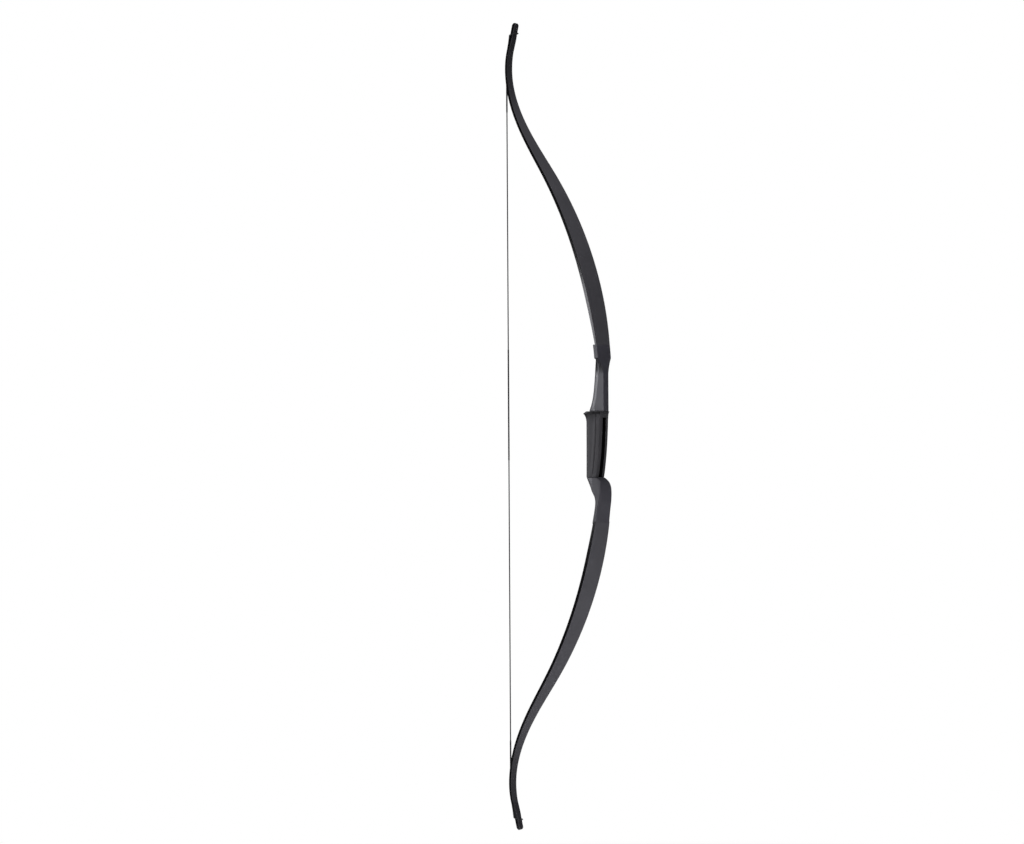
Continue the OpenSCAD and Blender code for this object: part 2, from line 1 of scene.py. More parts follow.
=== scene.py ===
"""Looks of a strung recurve bow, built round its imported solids.

The frame is the object's own: metres, +Z up the bow, +X towards the target, Y across the limbs.
Sizes in the classes are millimetres, as the maker would give them.
"""

import logging
import math
from collections.abc import Callable, Iterable
from dataclasses import dataclass, field, replace
from enum import Enum
from functools import cached_property

import bmesh
import bpy
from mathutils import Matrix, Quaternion, Vector


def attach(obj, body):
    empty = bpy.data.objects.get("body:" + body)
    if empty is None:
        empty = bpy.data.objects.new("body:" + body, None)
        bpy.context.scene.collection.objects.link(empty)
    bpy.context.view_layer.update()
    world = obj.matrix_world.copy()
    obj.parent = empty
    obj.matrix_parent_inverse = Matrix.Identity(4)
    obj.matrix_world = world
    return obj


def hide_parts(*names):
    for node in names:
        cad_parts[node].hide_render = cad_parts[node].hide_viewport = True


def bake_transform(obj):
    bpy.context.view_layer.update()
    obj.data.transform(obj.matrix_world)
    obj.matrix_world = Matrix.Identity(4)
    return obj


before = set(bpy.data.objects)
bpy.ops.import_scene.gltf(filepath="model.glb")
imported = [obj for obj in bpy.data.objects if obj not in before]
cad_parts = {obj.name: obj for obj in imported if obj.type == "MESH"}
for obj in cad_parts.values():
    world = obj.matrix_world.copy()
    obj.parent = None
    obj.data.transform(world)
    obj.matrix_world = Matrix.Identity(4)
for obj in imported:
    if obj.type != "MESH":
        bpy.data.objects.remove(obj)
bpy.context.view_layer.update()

LOG = logging.getLogger("recurve_bow")
MM = 0.001  # one millimetre, in the metres of the scene
WELD = 2e-6  # corners closer than this become one, in metres
SLIVER = 1e-6  # edges shorter than this are dissolved, in metres
CREASE = 38.0  # edges that turn by more than this many degrees stay sharp
STRING_CREASE = 60.0  # the same for strands and wound thread, whose turns shade round
CORNER_SHARE = 0.48  # a rounded corner takes up at most this share of the sides beside it
CURVE_SPANS = 24  # spans between two given points of a smooth path

Point = tuple[float, float, float]
Flat = tuple[float, float]
Face = tuple[int, ...]
Ring = list[Point]
Section = Callable[[float, float], list[Flat]]
Height = Callable[[float], float]


# Numbers and curves


def clamp(value: float, low: float = 0.0, high: float = 1.0) -> float:
    """Keep a value between two limits."""
    return min(high, max(low, value))


def soft_min(a: float, b: float, width: float) -> float:
    """Smaller of two values, rounded where they are less than width apart."""
    share = clamp(0.5 + (b - a) / (2 * width))
    return b + (a - b) * share - width * share * (1 - share)


def soft_max(a: float, b: float, width: float) -> float:
    """Larger of two values, rounded where they are less than width apart."""
    return -soft_min(-a, -b, width)


def smooth(v: float, points: list[Flat]) -> float:
    """Height of a smooth curve that never overshoots its points.

    Args:
        v: position along the curve.
        points: (position, value) pairs in rising order.

    Returns:
        The curve's value at v, held level beyond its ends.
    """
    last = len(points) - 1
    span = 0
    while span < last - 1 and v >= points[span + 1][0]:
        span += 1

    def rise(i: int) -> float:
        """Slope of the straight line over span i."""
        return (points[i + 1][1] - points[i][1]) / (points[i + 1][0] - points[i][0])

    def slope(i: int) -> float:
        """Slope of the curve at point i."""
        before, after = rise(max(0, i - 1)), rise(min(last - 1, i))
        return 0.0 if before * after <= 0 else 2 * before * after / (before + after)

    step = points[span + 1][0] - points[span][0]
    t = clamp((v - points[span][0]) / step)
    return (
        (1 + 2 * t) * (1 - t) ** 2 * points[span][1]
        + t * (1 - t) ** 2 * step * slope(span)
        + t * t * (3 - 2 * t) * points[span + 1][1]
        + t * t * (t - 1) * step * slope(span + 1)
    )


def spaced(start: float, stop: float, gap: float) -> list[float]:
    """Evenly spaced values from start to stop, at most gap apart."""
    count = max(1, math.ceil(abs(stop - start) / gap - 1e-9))
    return [start + (stop - start) * i / count for i in range(count + 1)]


def spaced_runs(start: float, *runs: Flat) -> list[float]:
    """Values along several runs, each with its own spacing.

    Args:
        start: first value.
        runs: where each run stops and the most that its values are apart.

    Returns:
        Values from start to the last stop.
    """
    made: list[float] = []
    for stop, gap in runs:
        made += spaced(start, stop, gap)[:-1]
        start = stop
    return made + [start]


def arc_inset(radius: float, depth: float) -> float:
    """How far a round edge stands back from its face's rim at a depth below the face."""
    below = max(0.0, radius - depth)
    return radius - math.sqrt(max(0.0, radius**2 - below**2))


def rounded(corners: list[Flat], radii: Iterable[float], steps: int = 4) -> list[Flat]:
    """Half outline with its inner corners rounded, always with the same count of points.

    Args:
        corners: outline from one end on the axis to the other.
        radii: how much of each inner corner is rounded off.
        steps: spans in each rounding.

    Returns:
        The ends as they are, and steps + 1 points for each inner corner.
    """
    made = [corners[0]]
    for before, here, after, radius in zip(corners, corners[1:], corners[2:], radii):
        middle = Vector(here)
        to_before, to_after = Vector(before) - middle, Vector(after) - middle
        cut = min(radius, CORNER_SHARE * to_before.length, CORNER_SHARE * to_after.length)
        first = middle + to_before.normalized() * cut
        last = middle + to_after.normalized() * cut
        for i in range(steps + 1):
            t = i / steps
            made.append(tuple(first * (1 - t) ** 2 + middle * (2 * t * (1 - t)) + last * t * t))
    return made + [corners[-1]]


def carried(path: list[Vector]) -> list[tuple[Vector, Vector, Vector]]:
    """Carry two cross directions along a path without twist.

    Args:
        path: places along the path.

    Returns:
        Each place with its two cross directions.
    """
    frames = []
    side = Vector((1.0, 0.0, 0.0))
    for i, here in enumerate(path):
        ahead = (path[min(i + 1, len(path) - 1)] - path[max(i - 1, 0)]).normalized()
        side = (side - ahead * side.dot(ahead)).normalized()
        frames.append((here, side, ahead.cross(side)))
    return frames


def resampled(points: list[Point], gap: float) -> list[Vector]:
    """Smooth path through points.

    Args:
        points: the points that it passes through.
        gap: distance between the places on it.

    Returns:
        Places on the path, an even gap apart.
    """
    given = [Vector(p) for p in points]
    fine = [given[0]]
    for i in range(len(given) - 1):
        a, b = given[max(0, i - 1)], given[i]
        c, d = given[i + 1], given[min(len(given) - 1, i + 2)]
        for k in range(1, CURVE_SPANS + 1):
            t = k / CURVE_SPANS
            fine.append(b + 0.5 * t * (c - a + t * (2 * a - 5 * b + 4 * c - d + t * (3 * (b - c) + d - a))))
    lengths = [0.0]
    for p, q in zip(fine, fine[1:]):
        lengths.append(lengths[-1] + (q - p).length)
    made, k = [], 0
    for want in spaced(0.0, lengths[-1], gap):
        while k < len(lengths) - 2 and lengths[k + 1] < want:
            k += 1
        made.append(fine[k].lerp(fine[k + 1], clamp((want - lengths[k]) / (lengths[k + 1] - lengths[k]))))
    return made


# Meshes


def level_ring(half: list[Flat], z: float) -> Ring:
    """Closed ring at one height from its +Y half, listed from belly to back."""
    return [(x, y, z) for x, y in half] + [(x, -y, z) for x, y in half[-2:0:-1]]


def stack(section: Section, heights: Iterable[float]) -> list[Ring]:
    """Rings of a section at each of some heights."""
    return [level_ring(section(z, 0.0), z) for z in heights]


def eased(section: Section, end: float, radius: float, angles: Iterable[float]) -> list[Ring]:
    """Rings that round off the end of a form.

    Args:
        section: half section at a height, stood back by an inset.
        end: height of the end.
        radius: radius of the rounding, negative at a lower end.
        angles: angles into the rounding in degrees, 90 at the end itself.

    Returns:
        One ring for each angle.
    """
    rings = []
    for a in map(math.radians, angles):
        z = end - radius + radius * math.sin(a)
        rings.append(level_ring(section(z, abs(radius) * (1 - math.cos(a))), z))
    return rings


def loft(rings: list[Ring]) -> tuple[list[Point], list[Face]]:
    """Skin through rings that each have the same number of points, closed at both ends.

    Args:
        rings: closed rings in order.

    Returns:
        Points and faces of the skin.
    """
    count = len(rings[0])
    points = [p for ring in rings for p in ring]
    faces: list[Face] = []
    for low in range(0, len(points) - count, count):
        for i in range(count):
            j = (i + 1) % count
            faces.append((low + i, low + j, low + count + j, low + count + i))
    faces.append(tuple(reversed(range(count))))
    faces.append(tuple(range(len(points) - count, len(points))))
    return points, faces


def settle(mesh: bpy.types.Mesh, crease: float) -> None:
    """Weld coincident corners, turn the faces outwards and set which edges shade sharp.

    Args:
        mesh: the mesh.
        crease: edges that turn by more than this many degrees stay sharp.
    """
    work = bmesh.new()
    work.from_mesh(mesh)
    bmesh.ops.remove_doubles(work, verts=work.verts, dist=WELD)
    bmesh.ops.dissolve_degenerate(work, edges=work.edges, dist=SLIVER)
    bmesh.ops.recalc_face_normals(work, faces=work.faces)
    work.to_mesh(mesh)
    work.free()
    mesh.shade_smooth()
    mesh.set_sharp_from_angle(angle=math.radians(crease))


def new_object(name: str, points: list[Point], faces: list[Face], crease: float = CREASE) -> bpy.types.Object:
    """Mesh object from points in millimetres.

    Args:
        name: name of the piece.
        points: corners in the object's frame, in millimetres.
        faces: corner numbers of each face.
        crease: edges that turn by more than this many degrees stay sharp.

    Returns:
        The object, linked to the scene.
    """
    mesh = bpy.data.meshes.new(name)
    mesh.from_pydata([(x * MM, y * MM, z * MM) for x, y, z in points], [], faces)
    settle(mesh, crease)
    made = bpy.data.objects.new(name, mesh)
    bpy.context.scene.collection.objects.link(made)
    return made


def carve(target: bpy.types.Object, cutter: bpy.types.Object) -> None:
    """Cut one closed mesh out of another and delete the cutter.

    Args:
        target: object that is cut.
        cutter: object that takes up what is cut away.
    """
    modifier = target.modifiers.new("cut", "BOOLEAN")
    modifier.operation = "DIFFERENCE"
    modifier.solver = "EXACT"
    modifier.object = cutter
    bpy.context.view_layer.update()
    result = bpy.data.meshes.new_from_object(target.evaluated_get(bpy.context.evaluated_depsgraph_get()))
    target.modifiers.remove(modifier)
    target.data = result
    bpy.data.objects.remove(cutter)
    settle(result, CREASE)


def seat(piece: bpy.types.Object, body: str, slot: str, *nodes: str) -> None:
    """Put a finished piece on its body in place of its solids.

    Args:
        piece: the piece.
        body: body that it moves with.
        slot: not used.
        nodes: CAD nodes that it stands for.
    """
    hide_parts(*nodes)
    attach(piece, body)
    LOG.info("%s rides on %s", piece.name, body)


def bend(piece: bpy.types.Object, bodies: tuple[str, str], ends: list[Point], slot: str, *nodes: str) -> None:
    """Put a finished piece that spans a joint in place of its solids, with its place baked into its corners.

    Args:
        piece: the piece.
        bodies: the two bodies that the joint lies between, named in the log.
        ends: not used.
        slot: not used.
        nodes: CAD nodes that it stands for.
    """
    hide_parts(*nodes)
    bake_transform(piece)
    LOG.info("%s bends between %s and %s", piece.name, *bodies)


# Finishes


def linear(code: str) -> tuple[float, ...]:
    """Linear RGBA of an sRGB hex colour such as "#3a3b3c"."""
    shares = [int(code[i : i + 2], 16) / 255 for i in (1, 3, 5)]
    return (*(c / 12.92 if c <= 0.04045 else ((c + 0.055) / 1.055) ** 2.4 for c in shares), 1.0)


def add(tree: bpy.types.NodeTree, kind: str, values: dict[str | int, object] | None = None) -> bpy.types.Node:
    """Add a node with its settings and links.

    Args:
        tree: node tree that gets the node.
        kind: name of the node type, without "ShaderNode".
        values: settings by the name of a property, or the name or number of an input. An output
            socket as the value is linked to that input.

    Returns:
        The new node.
    """
    node = tree.nodes.new(f"ShaderNode{kind}")
    for key, value in (values or {}).items():
        if isinstance(value, bpy.types.NodeSocket):
            tree.links.new(value, node.inputs[key])
        elif isinstance(key, str) and hasattr(node, key):
            setattr(node, key, value)
        else:
            node.inputs[key].default_value = value
    return node


def per_metre(size_mm: float) -> float:
    """Texture scale at which one feature is size_mm across."""
    return 1 / (size_mm * MM)


class Grain(Enum):
    """Direction in which a pattern is drawn out."""

    EVEN = (1.0, 1.0, 1.0)
    ALONG_LIMB = (0.0, 1.0, 0.012)  # streaks run up the limb and stay fine across it


@dataclass(frozen=True)
class Shade:
    """A region in which shade is painted into a finish: there its colour is darker than elsewhere."""

    lost: float  # share of the colour that is lost in the middle of the region
    spans: tuple[tuple[str, float, float], ...]  # axis, where the loss begins and where it is full
    facing: bool = False  # the spans bound the way the surface faces, not its place in metres
    dulls: bool = True  # the gloss goes with the colour

    def kept(self, tree: bpy.types.NodeTree) -> bpy.types.NodeSocket:
        """Share of the colour that is left.

        Args:
            tree: node tree of the material.

        Returns:
            Output socket with the share.
        """
        if self.facing:
            at = add(tree, "NewGeometry").outputs["Normal"]
        else:
            at = add(tree, "TexCoord").outputs["Object"]
        axes = add(tree, "SeparateXYZ", {0: at}).outputs
        inside: bpy.types.NodeSocket | float = 1.0
        for axis, begins, full in self.spans:
            smoothly = {"interpolation_type": "SMOOTHSTEP", "From Min": begins, "From Max": full}
            step = add(tree, "MapRange", smoothly | {"Value": axes[axis]}).outputs[0]
            inside = add(tree, "Math", {"operation": "MULTIPLY", 0: inside, 1: step}).outputs[0]
        return add(tree, "MapRange", {"To Min": 1.0, "To Max": 1 - self.lost, "Value": inside}).outputs[0]


# Painted shade under ledges: surfaces that look down are darkened and dulled, where shade falls
PAINTED_UNDERSIDE_SHADE = Shade(0.85, (("Z", 0.0, -0.34),), facing=True)
# Painted shadow in the nook below the block, on the archer's side of the post, where the block's shadow falls
PAINTED_NOOK_SHADOW = Shade(
    0.85,
    (
        ("Z", 0.093, 0.108),
        ("Z", 0.134, 0.121),
        ("X", 0.033, 0.024),
        ("Y", 0.0105, 0.0085),
        ("Y", -0.0105, -0.0085),
    ),
)
# Painted shade at both tips: the limb's colour darkens towards its ends
PAINTED_UPPER_TIP_SHADE = Shade(0.6, (("Z", 0.54, 0.66),), dulls=False)
PAINTED_LOWER_TIP_SHADE = Shade(0.6, (("Z", -0.54, -0.66),), dulls=False)


@dataclass(frozen=True)
class Finish:
    """A surface: its colour, how it varies, its gloss and its fine relief."""

    name: str
    colour: str
    deep: str  # colour of the darker clouds
    roughness: float
    specular: float
    mottle_mm: float
    grain_mm: float
    relief_mm: float
    roughness_spread: float = 0.05
    grain: Grain = Grain.EVEN
    coat: float = 0.0
    coat_roughness: float = 0.1
    sheen: float = 0.0
    cloud_share: float = 0.55  # the rest of the mottling comes from the fine grain
    # regions of painted shade
    shades: tuple[Shade, ...] = ()

    def mottled(self, tree: bpy.types.NodeTree, blend: bpy.types.NodeSocket) -> bpy.types.NodeSocket:
        """Colour that varies between the finish's two colours.

        Args:
            tree: node tree of the material.
            blend: the pattern that it varies by.

        Returns:
            Output socket with the colour.
        """
        made = add(tree, "ValToRGB", {"Fac": blend})
        stops = ((0.32, self.deep), (0.68, self.colour))
        for element, (position, code) in zip(made.color_ramp.elements, stops):
            element.position = position
            element.color = linear(code)
        return made.outputs["Color"]

    @cached_property
    def material(self) -> bpy.types.Material:
        """The finish as a material, made once.

        Returns:
            A node material with mottled colour, varied gloss and fine relief.
        """
        material = bpy.data.materials.new(self.name)
        material.use_nodes = True
        tree = material.node_tree
        tree.nodes.clear()
        place = add(tree, "TexCoord").outputs["Object"]
        clouds = {"Scale": per_metre(self.mottle_mm), "Detail": 3.0, "Roughness": 0.55, "Vector": place}
        cloud = add(tree, "TexNoise", clouds).outputs["Fac"]
        stretch = {"operation": "MULTIPLY", 0: place, 1: self.grain.value}
        drawn_out = add(tree, "VectorMath", stretch).outputs[0]
        grains = {"Scale": per_metre(self.grain_mm), "Detail": 2.0, "Roughness": 0.6, "Vector": drawn_out}
        fine = add(tree, "TexNoise", grains).outputs["Fac"]
        part = add(tree, "Math", {"operation": "MULTIPLY", 0: fine, 1: 1 - self.cloud_share}).outputs[0]
        blending = {"operation": "MULTIPLY_ADD", 0: cloud, 1: self.cloud_share, 2: part}
        blend = add(tree, "Math", blending).outputs[0]
        skin = self.mottled(tree, blend)
        low, high = self.roughness - self.roughness_spread, self.roughness + self.roughness_spread
        varied = {"From Min": 0.3, "From Max": 0.7, "To Min": low, "To Max": high, "Value": blend}
        rough = add(tree, "MapRange", varied).outputs[0]
        # painted shade: each region darkens the colour, and some dull the gloss too
        for shade in self.shades:
            kept = shade.kept(tree)
            skin = add(tree, "VectorMath", {"operation": "SCALE", 0: skin, "Scale": kept}).outputs[0]
            if shade.dulls:
                rough = add(tree, "MapRange", {"To Min": 1.0, "To Max": rough, "Value": kept}).outputs[0]
        relief = {"Strength": 1.0, "Distance": self.relief_mm * MM, "Height": fine}
        surface = {
            "Base Color": skin,
            "Roughness": rough,
            "IOR": 1.5,
            "Specular IOR Level": self.specular,
            "Coat Weight": self.coat,
            "Coat Roughness": self.coat_roughness,
            "Sheen Weight": self.sheen,
            "Normal": add(tree, "Bump", relief).outputs["Normal"],
        }
        shader = add(tree, "BsdfPrincipled", surface)
        add(tree, "OutputMaterial", {"Surface": shader.outputs["BSDF"]})
        return material


# Nylon with glass fibre, moulded in a lightly etched tool: a dark grey skin with a soft sheen
RISER_MOULDING = Finish(
    name="moulded_nylon_riser",
    colour="#434248",
    deep="#39383d",
    roughness=0.4,
    specular=0.5,
    mottle_mm=26.0,
    grain_mm=1.1,  # the tool's etching is 0.3 mm; drawn coarser so that it shows
    relief_mm=0.035,
    # painted shade under ledges, and a painted shadow in the nook below the block
    shades=(PAINTED_UNDERSIDE_SHADE, PAINTED_NOOK_SHADOW),
)
# The same moulding below the hand, rubbed a little duller by stands and bags, and given less specular as
# painted shade for the dimmer light there; it has no painted underside shade
RUBBED_AND_SHADED_HEEL_MOULDING = replace(
    RISER_MOULDING,
    name="rubbed_and_shaded_nylon_heel",
    colour="#434246",
    roughness=0.46,
    specular=0.42,
    shades=(),
)
# The same plastic with a coarser sand-etched face for the hand: duller, with a visible stipple
GRIP_MOULDING = Finish(
    name="stippled_nylon_grip",
    colour="#424143",
    deep="#373638",
    roughness=0.58,
    roughness_spread=0.06,
    specular=0.32,
    mottle_mm=18.0,
    grain_mm=1.4,  # stipple of 0.5 mm, drawn coarser so that it shows
    relief_mm=0.1,
    # painted shade under the shelf's lip and other ledges
    shades=(PAINTED_UNDERSIDE_SHADE,),
)
# Near-black nylon inside the grip's hollow, low in gloss: painted shade that stands in for the deep shade
# there
HOLLOW_SHADE_BLACK = Finish(
    name="painted_shade_black_hollow",
    colour="#0a0a0a",
    deep="#070707",
    roughness=0.8,
    specular=0.1,
    mottle_mm=12.0,
    grain_mm=1.2,
    relief_mm=0.05,
)
# Glass-fibre laminate under matt paint: fine streaks up the limb and an even, dull face
LIMB_FACE = Finish(
    name="matt_painted_glass_laminate",
    colour="#474649",
    deep="#3e3d40",
    roughness=0.6,
    specular=0.36,
    mottle_mm=60.0,
    grain_mm=1.2,  # glass strands of 0.3 mm, drawn coarser so that they show
    relief_mm=0.02,
    grain=Grain.ALONG_LIMB,
    # painted shade towards both tips
    shades=(PAINTED_UPPER_TIP_SHADE, PAINTED_LOWER_TIP_SHADE),
)
# Black lacquer over the sanded edges of wood core and laminates: deep black, mirrors the lamps
EDGE_LACQUER = Finish(
    name="black_edge_lacquer",
    colour="#0b0b0c",
    deep="#080809",
    roughness=0.24,
    roughness_spread=0.03,
    specular=0.13,
    mottle_mm=40.0,
    grain_mm=2.5,
    relief_mm=0.004,
    coat=0.25,
    coat_roughness=0.12,
)
# Black phenolic tip overlay, filed to shape and lacquered
TIP_OVERLAY = Finish(
    name="lacquered_phenolic_tip",
    colour="#2d2c2e",
    deep="#242325",
    roughness=0.36,
    specular=0.4,
    mottle_mm=14.0,
    grain_mm=0.8,
    relief_mm=0.02,
)
# Waxed polyester strands: nearly black, with a dull fibre sheen
STRANDS = Finish(
    name="waxed_polyester_strands",
    colour="#161617",
    deep="#0e0e0f",
    roughness=0.62,
    roughness_spread=0.06,
    specular=0.35,
    mottle_mm=9.0,
    grain_mm=0.5,
    relief_mm=0.03,
    sheen=0.15,
)
# Braided nylon serving, wound tight: black with a soft gloss on each turn
SERVING = Finish(
    name="wound_nylon_serving",
    colour="#19191a",
    deep="#111112",
    roughness=0.5,
    roughness_spread=0.06,
    specular=0.4,
    mottle_mm=7.0,
    grain_mm=0.4,
    relief_mm=0.02,
    sheen=0.1,
)


def dress(piece: bpy.types.Object, *finishes: Finish) -> None:
    """Give a piece its finishes and even shading over its large flats.

    Args:
        piece: the piece.
        finishes: its finishes, in the order of its faces' material numbers.
    """
    piece.data.materials.clear()
    for finish in finishes:
        piece.data.materials.append(finish.material)
    shading = piece.modifiers.new("even_shading", "WEIGHTED_NORMAL")
    shading.keep_sharp = True
    shading.mode = "FACE_AREA_WITH_ANGLE"


# The limb's curve


class Half(Enum):
    """Upper or lower half of the bow; the value is the sign of its heights."""

    UPPER = 1
    LOWER = -1

    @property
    def word(self) -> str:
        """The half's name in piece and body names."""
        return self.name.lower()


@dataclass(frozen=True)
class LimbCurve:
    """Centre line, thickness and width of one limb; s is the distance along it from its root."""

    root_x: float = 32.5
    root_z: float = 150.0
    root_lean: float = 7.3  # degrees towards the archer
    even_turn: float = 26.4  # degrees, spread evenly over even_len
    even_len: float = 326.0
    recurve_turn: float = 47.4  # degrees that the curl turns back
    curl_len: float = 264.0
    nock_run: float = 32.0  # straight run from the curl to the nock
    knob_len: float = 22.0
    root_t: float = 7.7
    tip_t: float = 5.2
    root_ease: float = 2.8  # the belly stands back by this much at the root, and less up to flex_s
    glass_t: float = 0.9
    shoulder_w: float = 36.6
    limb_w: float = 47.6
    recurve_w: float = 16.4
    tip_w: float = 12.6
    widest_s: float = 120.0
    taper_power: float = 1.4
    taper_rest: float = 0.19  # share of the curl over which the width has already come down
    overlay_t: float = 1.6
    overlay_len: float = 30.0
    overlay_edge: float = 0.16  # thickness at its thin end
    overlay_run: float = 0.7  # share of its length over which it thickens
    flex_s: float = 90.0
    window_curve: float = 29.0  # height of the curve under the block
    step: float = 10.0

    @cached_property
    def line(self) -> list[Flat]:
        """Places of the centre line, one step apart.

        Returns:
            X and Z of each place.
        """
        places = [(self.root_x, self.root_z)]
        for i in range(int(self.tip_s / self.step) + 3):
            ax, az = self.along((i + 0.5) * self.step)
            x, z = places[-1]
            places.append((x + self.step * ax, z + self.step * az))
        return places

    @property
    def even_bend(self) -> float:
        """Turn of the working limb, in degrees per millimetre."""
        return self.even_turn / self.even_len

    @property
    def curl_end(self) -> float:
        """Distance along the limb at which its tip runs straight."""
        return self.even_len + self.curl_len

    @property
    def nock_s(self) -> float:
        """Distance along the limb to the string nock."""
        return self.curl_end + self.nock_run

    @property
    def tip_s(self) -> float:
        """Length of the limb along its centre line."""
        return self.nock_s + self.knob_len

    @property
    def curve_s(self) -> float:
        """Distance along the limb at which the width has come down to the recurve's."""
        return self.curl_end - self.taper_rest * self.curl_len

    def lean(self, s: float) -> float:
        """Lean of the centre line towards the archer.

        Args:
            s: distance along the limb.

        Returns:
            The lean in degrees.
        """
        if s <= self.even_len:
            return self.root_lean + self.even_bend * s
        u = min(s, self.curl_end) - self.even_len
        curl_bend = self.even_bend + 2 * self.recurve_turn / self.curl_len
        swing = (self.even_bend + curl_bend) * u * u / (2 * self.curl_len)
        return self.root_lean + self.even_turn + self.even_bend * u - swing

    def along(self, s: float) -> Flat:
        """Direction of the limb at s, in X and Z."""
        a = math.radians(self.lean(s))
        return -math.sin(a), math.cos(a)

    def centre(self, s: float) -> Flat:
        """Place on the centre line.

        Args:
            s: distance along the limb, negative inside the riser.

        Returns:
            X and Z of the place.
        """
        i = max(0, int(s / self.step))
        x, z = self.line[i]
        ax, az = self.along((s + i * self.step) / 2)
        rest = s - i * self.step
        return x + rest * ax, z + rest * az

    def point(self, s: float, n: float) -> Flat:
        """Point at s, set off by n towards the back."""
        (x, z), (ax, az) = self.centre(s), self.along(s)
        return x + n * az, z - n * ax

    def half(self, s: float) -> float:
        """Half-thickness at s."""
        return (self.root_t + (self.tip_t - self.root_t) * clamp(s / self.curve_s)) / 2

    def belly(self, s: float) -> float:
        """Height of the belly face off the centre line; the clamped root is eased back."""
        return -(self.half(s) - self.root_ease * max(0.0, 1 - s / self.flex_s) ** 1.5)

    def back(self, s: float) -> float:
        """Height of the topmost face on the back, overlay included.

        Args:
            s: distance along the limb.

        Returns:
            Height off the centre line.
        """
        share = (s - self.nock_s + self.overlay_len) / (self.overlay_len * self.overlay_run)
        if share < 0:
            return self.half(s)
        rise = self.overlay_edge + (self.overlay_t - self.overlay_edge) * share
        return self.half(s) + min(self.overlay_t, rise)

    def width(self, s: float) -> float:
        """Width of the limb.

        Args:
            s: distance along the limb.

        Returns:
            Its width there.
        """
        if s < self.widest_s:
            share = (self.widest_s - s) / (self.widest_s + self.window_curve)
            return self.limb_w - (self.limb_w - self.shoulder_w) * share**2
        if s < self.curve_s:
            share = (s - self.widest_s) / (self.curve_s - self.widest_s)
            fullness = math.cos(math.pi / 2 * share) ** self.taper_power
            return self.recurve_w + (self.limb_w - self.recurve_w) * fullness
        share = (min(s, self.nock_s) - self.curve_s) / (self.nock_s - self.curve_s)
        return self.recurve_w - (self.recurve_w - self.tip_w) * share**3

    def s_at_height(self, z: float) -> float:
        """Where the limb crosses a height near its root.

        Args:
            z: the height.

        Returns:
            Distance along the limb.
        """
        s = 0.0
        for _ in range(6):
            s += (z - self.centre(s)[1]) / math.cos(math.radians(self.lean(s)))
        return s

    def face_at(self, z: float, side: int) -> float:
        """X of the full limb's back, side 1, or belly, side -1, at a height near its root."""
        s = self.s_at_height(z)
        return self.centre(s)[0] + side * self.half(s) / math.cos(math.radians(self.lean(s)))


CURVE = LimbCurve()


# Limbs


